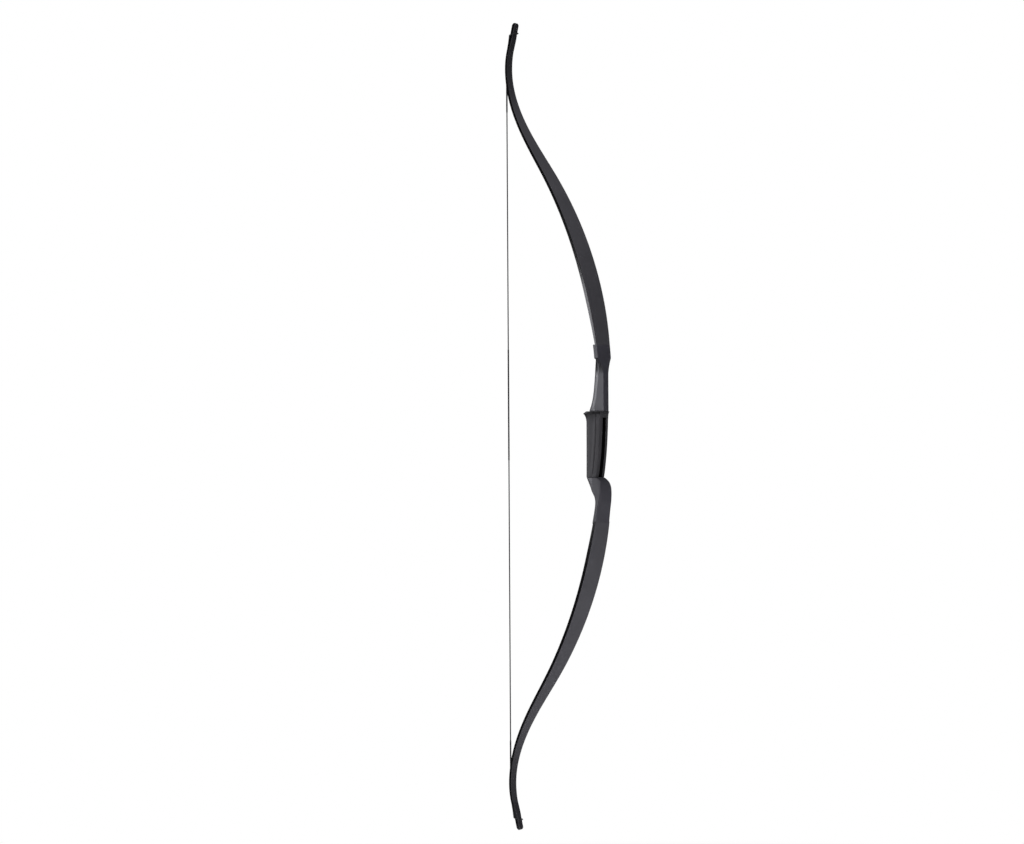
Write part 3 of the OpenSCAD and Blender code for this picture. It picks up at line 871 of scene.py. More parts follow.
@dataclass
class Limb:
    """One limb: core with lacquered edge, a laminate on each face, and the tip's overlay."""

    half: Half
    seam: float
    curve: LimbCurve = CURVE
    rim: float = 0.8  # radius of the sanded edges
    groove_r: float = 1.5
    groove_floor: float = 4.8
    groove_tilt: float = 30.0
    groove_soft: float = 0.25  # width of the blend at the groove's rim
    groove_reach: float = 5.0
    bury: float = 4.0  # the limb is drawn this far into the riser
    film: float = 0.02  # least thickness of the overlay, where it thins out
    coarse: float = 4.0  # spacing along the limb
    fine: float = 0.3  # the same at the string groove
    knob_gap: float = 1.0  # the same on the knob
    core_spans: int = 6
    end_share: float = 0.92  # the knob's end is filed a little flatter than a half circle
    knob_angles: tuple[float, ...] = (9, 18, 27, 36, 45, 54, 63, 72, 80, 86, 90)
    across: tuple[float, ...] = (0.93, 0.6, 0.2, -0.2, -0.6, -0.93)  # corners over a face, in half-widths
    edge_facing: float = 0.82  # faces that look further to the side than this are the limb's edge
    bend_end: float = 270.0  # the limb bends from its root to here

    def inset(self, s: float, n: float) -> float:
        """How far the sanded edge stands back at height n of the section at s."""
        curve = self.curve
        return max(arc_inset(self.rim, curve.back(s) - n), arc_inset(self.rim, n - curve.belly(s)))

    def half_width(self, s: float, n: float) -> float:
        """Half-width with the string groove cut in.

        Args:
            s: distance along the limb.
            n: height off the centre line.

        Returns:
            Half-width there.
        """
        plain = self.curve.width(s) / 2 - self.inset(s, n)
        tilt = math.radians(self.groove_tilt)
        off = (s - self.curve.nock_s - n * math.tan(tilt)) * math.cos(tilt)
        if abs(off) >= self.groove_r:
            return plain
        cut = self.groove_floor + self.groove_r - math.sqrt(self.groove_r**2 - off**2)
        return soft_min(plain, cut, self.groove_soft)

    @property
    def knob(self) -> float:
        """Distance along the limb at which the knob's round end begins."""
        return self.curve.tip_s - self.curve.tip_w / 2

    def stations(self, first: float) -> list[float]:
        """Stations along the limb from first to the knob, close together at the grooves."""
        start, stop = self.curve.nock_s - self.groove_reach, self.curve.nock_s + self.groove_reach
        return spaced_runs(first, (start, self.coarse), (stop, self.fine), (self.knob, self.knob_gap))

    def section(self, s: float, heights: list[float], round_end: float = 0.0) -> Ring:
        """Ring of a strip at s, with its faces divided across.

        Args:
            s: distance along the limb.
            heights: heights off the centre line from the strip's belly side to its back side.
            round_end: angle into the knob's round end, in degrees, 0 outside it.

        Returns:
            Closed ring of points.
        """
        right: Ring = []
        angle = math.radians(round_end)
        for n in heights:
            at, y = s, self.half_width(s, n)
            if round_end:
                radius = self.curve.tip_w / 2 - self.inset(self.curve.tip_s - 1, n)
                at, y = s + radius * self.end_share * math.sin(angle), radius * math.cos(angle)
            x, z = self.curve.point(at, n)
            right.append((x, y, z * self.half.value))
        left = [(x, -y, z) for x, y, z in reversed(right)]
        back = [(right[-1][0], right[-1][1] * a, right[-1][2]) for a in self.across]
        belly = [(right[0][0], -right[0][1] * a, right[0][2]) for a in self.across]
        return right + back + left + belly

    def strip(self, name: str, first: float, low: Height, high: Height, count: int = 5) -> bpy.types.Object:
        """One layer of the limb as a closed mesh.

        Args:
            name: name of the piece.
            first: distance along the limb at which the layer starts.
            low: function of s that gives its belly side.
            high: function of s that gives its back side.
            count: spans over its thickness.

        Returns:
            The layer's object.
        """
        shares = [0.5 - 0.5 * math.cos(math.pi * i / count) for i in range(count + 1)]

        def heights(s: float) -> list[float]:
            """Heights of the layer's edge points at s, closer together at both rims."""
            return [low(s) + (high(s) - low(s)) * share for share in shares]

        rings = [self.section(s, heights(s)) for s in self.stations(first)]
        for angle in self.knob_angles:
            rings.append(self.section(self.knob, heights(self.curve.tip_s - 1), angle))
        return new_object(name, *loft(rings))

    def on_line(self, s: float) -> Point:
        """Point of the centre line at s, in metres."""
        x, z = self.curve.centre(s)
        return x * MM, 0.0, z * MM * self.half.value

    def build(self) -> None:
        """Build and dress the limb."""
        curve, word = self.curve, self.half.word
        start = curve.s_at_height(self.seam) - self.bury

        def core_low(s: float) -> float:
            """Belly side of the core."""
            return curve.belly(s) + curve.glass_t

        def core_high(s: float) -> float:
            """Back side of the core."""
            return curve.half(s) - curve.glass_t

        def overlay_high(s: float) -> float:
            """Back side of the tip's overlay."""
            return max(curve.back(s), curve.half(s) + self.film)

        bodies = ("riser", f"{word}_limb")
        ends = [self.on_line(0.0), self.on_line(self.bend_end)]
        core = self.strip(f"{word}_limb_lacquered_core", start, core_low, core_high, self.core_spans)
        dress(core, EDGE_LACQUER)
        bend(core, bodies, ends, "limb_core", f"{word}_limb_core", f"{word}_limb_butt")
        for side, low, high in (("back", core_high, curve.half), ("belly", curve.belly, core_low)):
            laminate = self.strip(f"{word}_limb_{side}_face", start, low, high)
            dress(laminate, LIMB_FACE, EDGE_LACQUER)
            for polygon in laminate.data.polygons:
                polygon.material_index = int(abs(polygon.normal.y) > self.edge_facing)
            bend(laminate, bodies, ends, "limb_face", f"{word}_{side}_laminate")
        first = curve.nock_s - curve.overlay_len
        overlay = self.strip(f"{word}_tip_reinforcement", first, curve.half, overlay_high)
        dress(overlay, TIP_OVERLAY)
        seat(overlay, f"{word}_limb", "tip_overlay", f"{word}_tip_overlay")


# Riser and grip


@dataclass
class Riser:
    """The moulded riser: upper block, post beside the sight window, core and heel."""

    curve: LimbCurve = CURVE
    upper_seam: float = 149.0
    lower_seam: float = 179.0
    window_top: float = 124.0
    block_proud: float = 1.6  # the block stands this far out from the limb's belly
    block_flare: float = 2.6  # it is this much wider than the limb at its lower corner
    post_w: float = 15.0
    post_back: float = 42.4
    post_belly: float = 20.0
    post_nose: float = 5.0
    post_bevel: float = 11.6
    post_foot: float = 0.6  # the post is this much slimmer where it comes out of the shelf
    back_hook: float = 1.5  # how sharply the block turns out to its back edge
    belly_hook: float = 5.0  # the same to its belly edge
    edge: float = 1.2
    shelf_z: float = 27.0
    shelf_back: float = 38.4
    grip_foot: float = -94.0
    grip_w: float = 26.2
    grip_strip: float = 9.8  # the flat of the side reaches this far from the back at the grip's foot
    foot_depth: float = 27.6  # the grip's depth at its foot
    heel_back: float = 41.4
    heel_drop: float = 48.0  # height of the heel, down to where the limb's line begins
    heel_w: float = 34.0
    shoulder: float = 22.0  # height over which the heel widens below the grip
    run_out: float = 11.0  # height over which the heel runs out into the limb's line
    soft_end: float = 0.8  # radius round the ends at both seams
    foot_end: float = 0.9  # radius under the grip
    window_radii: tuple[float, ...] = (0.9, 1.2, 0.8, 2.2, 1.2, 0.9)
    heel_radii: tuple[float, ...] = (2.0, 2.5, 2.0, 1.6, 1.6, 0.7, 0.7)

    @property
    def window_low(self) -> float:
        """Height at which the block's curve meets the post."""
        return self.window_top - self.curve.window_curve

    def post_belly_at(self, z: float) -> float:
        """Belly of the post and of the rib that dies into the block.

        Args:
            z: height of the section.

        Returns:
            X of the belly.
        """
        shelf, window = self.shelf_z, self.window_top - self.shelf_z
        return smooth(z, [
            (shelf - 4, self.post_belly - 15.8),
            (shelf + 2, self.post_belly - 14.2),
            (shelf + 11, self.post_belly - 10.5),
            (shelf + 22, self.post_belly - 7.3),
            (shelf + window * 0.41, self.post_belly - 4.2),
            (shelf + window * 0.68, self.post_belly - 1.6),
            (self.window_top - 10, self.post_belly),
            (self.window_top, self.post_belly + 0.8),
            (self.upper_seam, self.curve.face_at(self.upper_seam, -1) - self.block_proud + 0.2),
        ])

    def back_at(self, z: float) -> float:
        """Back of the post and block.

        Args:
            z: height of the section.

        Returns:
            X of the back.
        """
        if z > self.window_top:
            return self.curve.face_at(z, 1)
        return smooth(z, [
            (self.shelf_z - 4, self.shelf_back),
            (self.shelf_z + 1, self.post_back),
            (self.window_low, self.post_back),
            (self.window_top, self.curve.face_at(self.window_top, 1)),
        ])

    def block_half(self, z: float, hook: float) -> float:
        """Half-width of the block: flared to its lower corner, then curving in to the post.

        Args:
            z: height of the section.
            hook: how sharply the curve turns out under the block.

        Returns:
            Half-width in millimetres.
        """
        s = self.curve.s_at_height(max(z, self.window_top - 6))
        depth = (self.upper_seam - z) / (self.upper_seam - self.window_top)
        flared = self.curve.width(s) / 2 + self.block_flare / 2 * depth
        corner = self.curve.width(self.curve.s_at_height(self.window_top)) / 2 + self.block_flare / 2
        share = max(0.0, (z - self.window_low) / self.curve.window_curve)
        hollow = self.post_w / 2 + (corner - self.post_w / 2) * share**hook
        return soft_min(flared, hollow, 0.5)

    def window_half(self, z: float, inset: float = 0.0) -> list[Flat]:
        """Half section of post and block at one height.

        Args:
            z: height of the section.
            inset: how far the section stands back all round, for a rounded end.

        Returns:
            Half outline from belly to back.
        """
        on_block = z > self.window_low
        half = self.post_w / 2 - clamp(1 - (z - self.shelf_z - 0.4) / self.post_foot) * self.post_foot
        back = self.back_at(z) - inset
        face = self.curve.face_at(max(z, self.window_low), -1) - self.block_proud + inset
        wide = max(half, (self.block_half(z, self.back_hook) if on_block else half) - inset)
        under = max(half, (self.block_half(z, self.belly_hook) if on_block else half) - inset)
        belly = self.post_belly_at(z)

        def held(x: float) -> float:
            """Keep the rib's points in front of the block's face."""
            return soft_min(x, face - 0.05, 0.6) if on_block else x

        nose = self.post_nose / 2
        bevel = max(self.post_bevel, self.post_belly + self.post_bevel * 0.1 - belly)
        corners = [
            (held(belly), 0.0),
            (held(belly), nose),
            (held(belly + bevel * 0.4), nose + (half - nose) * 0.65),
            (held(belly + bevel), half),
            (face, half),
            (face, under),
            (back, wide),
            (back, 0.0),
        ]
        return rounded(corners, self.window_radii)

    def window_section(self) -> bpy.types.Object:
        """Post and upper block as one mesh.

        Returns:
            The piece's object.
        """
        heights = spaced_runs(
            self.shelf_z - 3,
            (self.shelf_z + 2, 0.5),
            (self.window_low, 2.0),
            (self.window_top - 4, 1.2),
            (self.window_top + 3, 0.4),
            (self.upper_seam - self.soft_end, 1.5),
        )
        top = eased(self.window_half, self.upper_seam, self.soft_end, (22, 45, 67, 90))
        return new_object("riser_window_section", *loft(stack(self.window_half, heights) + top))

    def heel_half(self, z: float, inset: float) -> list[Flat]:
        """Half section of the heel at one height.

        Args:
            z: height of the section.
            inset: how far the section stands back all round, for a rounded end.

        Returns:
            Half outline from belly to back.
        """
        curve, foot = self.curve, self.grip_foot
        shoulder = foot - self.shoulder
        low = foot - self.heel_drop
        out = low - self.run_out
        end = -self.lower_seam

        def belly(height: float) -> float:
            """Belly of the lower limb's line at a height below the pivot."""
            return curve.face_at(-height, -1)

        back = smooth(z, [
            (end, curve.face_at(-end, 1)),
            (out, curve.face_at(-out, 1) + 0.2),
            (foot - self.heel_drop * 0.85, self.heel_back - 1.4),
            (foot - self.heel_drop * 0.54, self.heel_back),
            (foot - 19, self.heel_back - 0.1),
            (foot - 11, self.heel_back - 2),
            (foot - 4, self.foot_depth + 0.44 * (self.heel_back - self.foot_depth)),
            (foot, self.foot_depth),
        ]) - inset
        half = smooth(z, [
            (end, curve.width(curve.s_at_height(-end)) / 2),
            (out, curve.width(curve.s_at_height(-out)) / 2),
            (foot - self.heel_drop * 0.85, self.heel_w / 2 + 1.6),
            (shoulder, self.heel_w / 2),
            (foot - self.shoulder / 2, (self.heel_w + self.grip_w) / 4),
            (foot, self.grip_w / 2),
        ]) - inset
        side = smooth(z, [
            (end, belly(end)),
            (low, belly(low)),
            (foot - self.heel_drop * 0.79, belly(foot - self.heel_drop * 0.79) - 2.4),
            (shoulder, 0.42 * self.foot_depth + 9),
            (foot, self.foot_depth - self.grip_strip),
        ])
        crest = smooth(z, [
            (end, belly(end)),
            (low - 14, belly(low - 14)),
            (low, belly(low) - 2.5),
            (shoulder, 12.5),
            (foot, 0.0),
        ])
        crest = min(crest, side - 0.02) + inset
        side = max(side, crest + 0.02)
        grip_share = clamp(1 - (foot - z) / self.shoulder)

        def between(at_heel: float, at_grip: float) -> float:
            """Value between the heel's and the grip's at this height."""
            return at_heel + (at_grip - at_heel) * grip_share

        rounding = self.edge * between(0.3, 0.0)
        corners = [
            (crest, 0.0),
            (crest, half * 0.31),
            (crest + (side - crest) * 0.12, half * between(0.5, 0.62)),
            (crest + (side - crest) * between(0.6, 0.39), half * between(0.85, 0.8)),
            (side, half - rounding),
            (side + (back - side) * between(0.8, 0.5), half),
            (back - self.edge, half - rounding),
            (back, half - self.edge),
            (back, 0.0),
        ]
        return rounded(corners, self.heel_radii)

    def heel(self) -> bpy.types.Object:
        """The heel below the grip, down to the lower limb.

        Returns:
            The piece's object.
        """
        end = -self.lower_seam
        heights = spaced(end + self.soft_end, self.grip_foot - self.foot_end, 1.2)
        rings = eased(self.heel_half, end, -self.soft_end, (90, 67, 45, 22))
        rings += stack(self.heel_half, heights)
        rings += eased(self.heel_half, self.grip_foot, self.foot_end, (30, 60, 90))
        return new_object("riser_heel", *loft(rings))

    def build(self) -> None:
        """Build and dress the riser."""
        # the heel takes the duller copy of the riser's moulding, partly painted shade
        for piece, finish in ((self.window_section(), RISER_MOULDING), (self.heel(), RUBBED_AND_SHADED_HEEL_MOULDING)):
            dress(piece, finish)
            seat(piece, "riser", "riser_moulding", "riser")


@dataclass
class Grip:
    """The moulded sleeve round the riser's core, with the arrow shelf and the hollow in its back."""

    riser: Riser = field(default_factory=Riser)
    length: float = 121.0
    depth: float = 38.0
    beak: float = 7.4
    flare: float = 1.2
    lip: float = 1.2
    groove_back: float = 7.4  # shallow groove along each side, this far from the back
    groove_w: float = 4.2
    groove_d: float = 1.5
    groove_fade: float = 6.0  # length over which the groove runs out at either end
    swell: float = 1.6  # the side rises by this much to the groove's edge
    swell_run: float = 6.0
    swell_fade: float = 20.0  # length over which the swell grows from either end of the grip
    slot_w: float = 10.0
    slot_depth: float = 22.0
    slot_drop: float = 11.5
    slot_grow: float = 1.0  # the hollow is this much wider behind the sleeve's wall
    wall: float = 3.0
    wall_gap: float = 0.2  # the core's channel ends this far behind the wall
    past_end: float = 2.0  # cutters run this far past the ends
    past_back: float = 6.0  # and this far past the back
    joint: float = 0.35  # open joint between the shelf and the post
    passage_depth: float = 2.4  # how deep that joint goes down into the shelf
    core_fit: float = 0.98  # how far the core's channel reaches behind the sleeve's wall
    foot_end: float = 0.8
    shelf_end: float = 0.6
    facets: tuple[Flat, ...] = ((0.0, 0.31), (0.07, 0.62), (0.25, 0.8))  # shares of depth and half-width
    radii: tuple[float, ...] = (1.8, 1.6, 2.0, 2.4, 0.9, 1.0, 0.8, 0.6, 0.6)

    @property
    def slot_top(self) -> float:
        """Height at which the hollow ends below the shelf."""
        return self.riser.shelf_z - self.slot_drop

    def back_at(self, z: float) -> float:
        """Back of the grip.

        Args:
            z: height of the section.

        Returns:
            X of the back.
        """
        foot, shelf, low = self.riser.grip_foot, self.riser.shelf_z, self.riser.foot_depth
        rise = self.depth - low
        return smooth(z, [
            (foot, low),
            (foot + self.length * 0.12, low + rise * 0.24),
            (foot + self.length * 0.42, low + rise * 0.66),
            (foot + self.length * 0.73, low + rise * 0.9),
            (shelf - 6, self.depth),
            (shelf, self.depth + 0.7),
        ])

    def belly_at(self, z: float) -> float:
        """Belly of the grip, out to the beak and back to the shelf's edge.

        Args:
            z: height of the section.

        Returns:
            X of the belly.
        """
        shelf = self.riser.shelf_z
        out = smooth(z, [
            (self.riser.grip_foot, 0.0),
            (shelf - 22, 0.0),
            (shelf - 15, -self.beak * 0.1),
            (shelf - 9, -self.beak * 0.4),
            (shelf - 4, -self.beak),
        ])
        return soft_max(out, -self.beak + (z - shelf + 4) * 2, 0.6)

    def half_section(self, z: float, inset: float) -> list[Flat]:
        """Half section of the grip: narrow belly, softened facets, bevelled back edges.

        Args:
            z: height of the section.
            inset: how far the section stands back all round, for a rounded end.

        Returns:
            Half outline from belly to back.
        """
        shelf, edge = self.riser.shelf_z, self.riser.edge
        half = self.riser.grip_w / 2 + self.flare * clamp((z - shelf + 22) / 21) ** 2.2 - inset
        half += self.lip * clamp((z - shelf + 6) / 5) ** 2
        belly, back = self.belly_at(z) + inset, self.back_at(z) - inset
        depth = back - belly
        strip = back - self.groove_back
        start = strip - self.groove_w
        deep, wide = self.facets[-1]
        share = (start - belly - depth * deep) / (strip - belly - depth * deep)
        side = half * (wide + (1 - wide) * share)
        above, below = shelf - 4 - z, z - self.riser.grip_foot
        fade = clamp(above / self.groove_fade) * clamp(below / self.groove_fade)
        rise = self.swell * clamp(above / self.swell_fade) * clamp(below / self.swell_fade)
        groove = half * (0.94 + 0.06 * share) - self.groove_d * fade
        corners = [
            (belly, 0.0),
            *((belly + depth * along, half * across) for along, across in self.facets),
            (start - self.swell_run, side - rise),
            (start, side),
            (strip - self.groove_w * 0.3, groove),
            (strip, half),
            (back - edge, half),
            (back, half - edge),
            (back, 0.0),
        ]
        return rounded(corners, self.radii)

    def sleeve(self) -> bpy.types.Object:
        """Outer form of the grip before anything is cut from it.

        Returns:
            The piece's object.
        """
        foot, shelf = self.riser.grip_foot, self.riser.shelf_z
        heights = spaced_runs(foot + self.foot_end, (shelf - 24, 3.0), (shelf - self.shelf_end, 0.7))
        rings = eased(self.half_section, foot, -self.foot_end, (90, 60, 30))
        rings += stack(self.half_section, heights)
        rings += eased(self.half_section, shelf, self.shelf_end, (30, 60, 90))
        return new_object("grip_sleeve", *loft(rings))

    def hollow_floor(self, z: float) -> float:
        """X of the hollow's floor at one height."""
        return self.back_at(z) - min(self.slot_depth, self.back_at(z) - self.wall * 2)

    def hollow_half(self, z: float) -> list[Flat]:
        """Half section of the hollow's cutter.

        Args:
            z: height of the section.

        Returns:
            Half outline from belly to back.
        """
        floor, back = self.hollow_floor(z) - self.slot_grow, self.back_at(z)
        wall, out = back - self.wall, back + self.past_back
        half = self.slot_w / 2
        corners = [
            (floor, 0.0),
            (floor, half + self.slot_grow),
            (wall, half + self.slot_grow),
            (wall, half),
            (out, half),
            (out, 0.0),
        ]
        return rounded(corners, (1.0, 0.2, 0.2, 0.5), 2)

    def cutter(self) -> bpy.types.Object:
        """Form that is cut from the back of the sleeve.

        Returns:
            The cutter's object.
        """
        heights = spaced(self.riser.grip_foot - self.past_end, self.slot_top - 2, 4.0)
        heights += [self.slot_top - 1, self.slot_top - 0.3, self.slot_top]
        return new_object("hollow_cutter", *loft([level_ring(self.hollow_half(z), z) for z in heights]))

    def passage(self) -> bpy.types.Object:
        """Form that is cut through the shelf round the post.

        Returns:
            The cutter's object.
        """
        shelf = self.riser.shelf_z
        floor = shelf - self.passage_depth
        half = []
        for x, y in self.riser.window_half(floor):
            grown = y + self.joint if y > 0.01 else 0.0
            half.append((x - self.joint if x < self.riser.post_belly else x + self.past_back, grown))
        rings = [level_ring(half, z) for z in (floor, shelf, shelf + self.past_end)]
        return new_object("passage_cutter", *loft(rings))

    def channel(self) -> bpy.types.Object:
        """Part of the riser's core that shows inside the hollow.

        Returns:
            The piece's object.
        """
        inner, outer = self.slot_w / 2, self.slot_w / 2 + self.core_fit
        rings = []
        for z in spaced(self.riser.grip_foot, self.slot_top, 4.0):
            floor, step = self.hollow_floor(z), self.back_at(z) - self.wall - self.wall_gap
            right = [(floor - self.core_fit, outer, z), (step, outer, z), (step, inner, z), (floor, inner, z)]
            rings.append(right + [(x, -y, z) for x, y, _ in reversed(right)])
        return new_object("riser_core_channel", *loft(rings))

    def in_hollow(self, centre: Vector) -> bool:
        """Whether a face of the sleeve lies inside the hollow.

        Args:
            centre: middle of the face, in metres.

        Returns:
            True inside the hollow, its rim and foot left out.
        """
        x, y, z = (c / MM for c in centre)
        in_slot = abs(y) < self.slot_w / 2 + 1.2 and self.wall * 1.5 < x < self.back_at(z) - 0.3
        return in_slot and self.riser.grip_foot + 0.2 < z < self.slot_top + 0.1

    def build(self) -> None:
        """Build and dress the grip and the core inside its hollow."""
        sleeve = self.sleeve()
        carve(sleeve, self.cutter())
        carve(sleeve, self.passage())
        dress(sleeve, GRIP_MOULDING, HOLLOW_SHADE_BLACK)
        for face in sleeve.data.polygons:
            # faces inside the hollow take the near-black painted shade
            face.material_index = int(self.in_hollow(face.center))
        seat(sleeve, "riser", "grip_moulding", "grip")
        channel = self.channel()
        # the core that shows in the hollow is dressed in the same painted shade
        dress(channel, HOLLOW_SHADE_BLACK)
        seat(channel, "riser", "riser_moulding", "riser")


# String


@dataclass
class BowString:
    """Strands, servings and the served loops at both tips."""

    x: float = -183.015
    throat_z: float = 677.486
    nocking_z: float = 38.0
    strand_d: float = 2.2
    served_r: float = 1.5
    loop_r: float = 1.2
    centre_len: float = 205.0
    centre_mid: float = 39.5
    end_len: float = 100.0
    lobes: int = 7
    lobe_depth: float = 0.05  # share of the radius by which the strands stand out
    twist_mm: float = 26.0
    turn_mm: float = 0.9  # serving thread of 0.5 mm, drawn coarser so that its turns show
    turn_depth: float = 0.12
    cap_angles: tuple[float, ...] = (80, 60, 40, 20)
    lobe_sides: int = 5  # corners round each lobe of the strands
    thread_sides: int = 14  # corners round the wound thread
    loop_sides: int = 12
    strand_gap: float = 3.0  # distance between the rings of the strands
    swing_run: float = 2.5  # the loop bends over this much on either side of its turn
    bight: tuple[Point, ...] = (
        (-171.7, 5.9, 718.5),
        (-171.2, 6.2, 719.4),
        (-170.2, 6.3, 720.3),
        (-167.187, 6.3, 721.34),
        (-164.084, 6.3, 722.248),
        (-162.311, 6.3, 722.766),
        (-160.965, 5.9, 723.22),
        (-160.579, 4.4, 723.538),
        (-160.555, 2.4, 723.635),
    )
    leg: tuple[Point, ...] = (
        (-182.9, 0.75, 677.6),
        (-181.6, 1.2, 683.4),
        (-179.0, 2.2, 693.4),
        (-175.5, 3.6, 705.0),
        (-172.3, 5.3, 716.7),
    )
    turn: Flat = (-173.466, 716.695)  # where the loop swings on the tip, in X and Z

    @property
    def thread_gap(self) -> float:
        """Distance between the rings of the wound thread, a fifth of a turn."""
        return self.turn_mm / 5

    def strand_radius(self, radius: float, turn: float, run: float) -> float:
        """Radius of the twisted strands, turn round the string and run along it."""
        lobe = abs(math.cos(self.lobes / 2 * (turn + 2 * math.pi * run / self.twist_mm)))
        return radius * (1 - self.lobe_depth + self.lobe_depth * lobe)

    def thread_radius(self, radius: float, turn: float, run: float) -> float:
        """Radius of the wound thread, turn round the string and run along it."""
        wave = math.cos(2 * math.pi * run / self.turn_mm - turn)
        return radius - self.turn_depth * (0.5 - 0.5 * wave)

    def rod(self, name: str, low: float, high: float, strands: bool = False) -> bpy.types.Object:
        """Straight stretch of string with round ends.

        Args:
            name: name of the piece.
            low: height of its lower end.
            high: height of its upper end.
            strands: twisted strands if true, else wound thread.

        Returns:
            The piece's object.
        """
        radius = self.strand_d / 2 if strands else self.served_r
        radius_at = self.strand_radius if strands else self.thread_radius
        sides = self.lobes * self.lobe_sides if strands else self.thread_sides
        gap = self.strand_gap if strands else self.thread_gap
        caps = [math.radians(a) for a in self.cap_angles]
        stations = [(low + radius - radius * math.sin(a), a) for a in caps]
        stations += [(z, 0.0) for z in spaced(low + radius, high - radius, gap)]
        stations += [(high - radius + radius * math.sin(a), a) for a in reversed(caps)]
        rings = []
        for z, bow in stations:
            ring = []
            for turn in (2 * math.pi * k / sides for k in range(sides)):
                r = radius_at(radius, turn, z) * math.cos(bow)
                ring.append((self.x + r * math.cos(turn), r * math.sin(turn), z))
            rings.append(ring)
        return new_object(name, *loft(rings), crease=STRING_CREASE)

    def loop(self, half: Half) -> bpy.types.Object:
        """The served loop: both legs and the bight over the tip.

        Args:
            half: upper or lower end of the string.

        Returns:
            The piece's object.
        """
        side = list(self.leg) + list(self.bight)
        gap, sides = self.thread_gap, self.loop_sides
        path = resampled(side + [(x, -y, z) for x, y, z in reversed(side)], gap)
        rings = []
        run = 0.0
        for i, (here, u, v) in enumerate(carried(path)):
            run += (path[i] - path[i - 1]).length if i else 0.0
            left = min(i, len(path) - 1 - i) * gap
            swell = math.sqrt(clamp(1 - (1 - clamp(left / self.loop_r)) ** 2, 0.02, 1.0))
            ring = []
            for turn in (2 * math.pi * k / sides for k in range(sides)):
                r = self.thread_radius(self.loop_r, turn, run) * swell
                p = here + (u * math.cos(turn) + v * math.sin(turn)) * r
                ring.append((p.x, p.y, p.z * half.value))
            rings.append(ring)
        return new_object(f"{half.word}_served_loop", *loft(rings), crease=STRING_CREASE)

    def build_end(self, half: Half) -> None:
        """Build and dress one end of the string: its serving and its loop.

        Args:
            half: upper or lower end of the string.
        """
        word = half.word
        ends = (self.throat_z - self.end_len, self.throat_z + self.served_r)
        low, high = sorted(z * half.value for z in ends)
        end = self.rod(f"{word}_end_winding", low, high)
        dress(end, SERVING)
        seat(end, f"{word}_string", "serving_thread", f"{word}_end_serving")
        loop = self.loop(half)
        dress(loop, SERVING)
        x, z = self.turn
        swing = [(x * MM, 0.0, (z + off) * MM * half.value) for off in (self.swing_run, -self.swing_run)]
        nodes = (f"{word}_loop_bight", f"{word}_loop_legs")
        bend(loop, (f"{word}_limb", f"{word}_loop"), swing, "serving_thread", *nodes)

    def build(self) -> None:
        """Build and dress the string."""
        nock, top = self.nocking_z, self.centre_mid + self.centre_len / 2
        foot = self.centre_mid - self.centre_len / 2
        # both centre windings end in a ball about the nocking point, so the string bends there without a gap
        spans = {
            Half.UPPER: (nock, self.throat_z, nock - self.served_r, top, ("nocking_serving",)),
            Half.LOWER: (-self.throat_z, nock, foot, nock + self.served_r, ()),
        }
        for half, (low, high, served_low, served_high, middle) in spans.items():
            word = half.word
            strands = self.rod(f"{word}_strands", low, high, strands=True)
            dress(strands, STRANDS)
            seat(strands, f"{word}_string", "string_strands", f"{word}_string")
            centre = self.rod(f"{word}_centre_winding", served_low, served_high)
            dress(centre, SERVING)
            seat(centre, f"{word}_string", "serving_thread", f"{word}_centre_serving", *middle)
            self.build_end(half)


# Studio


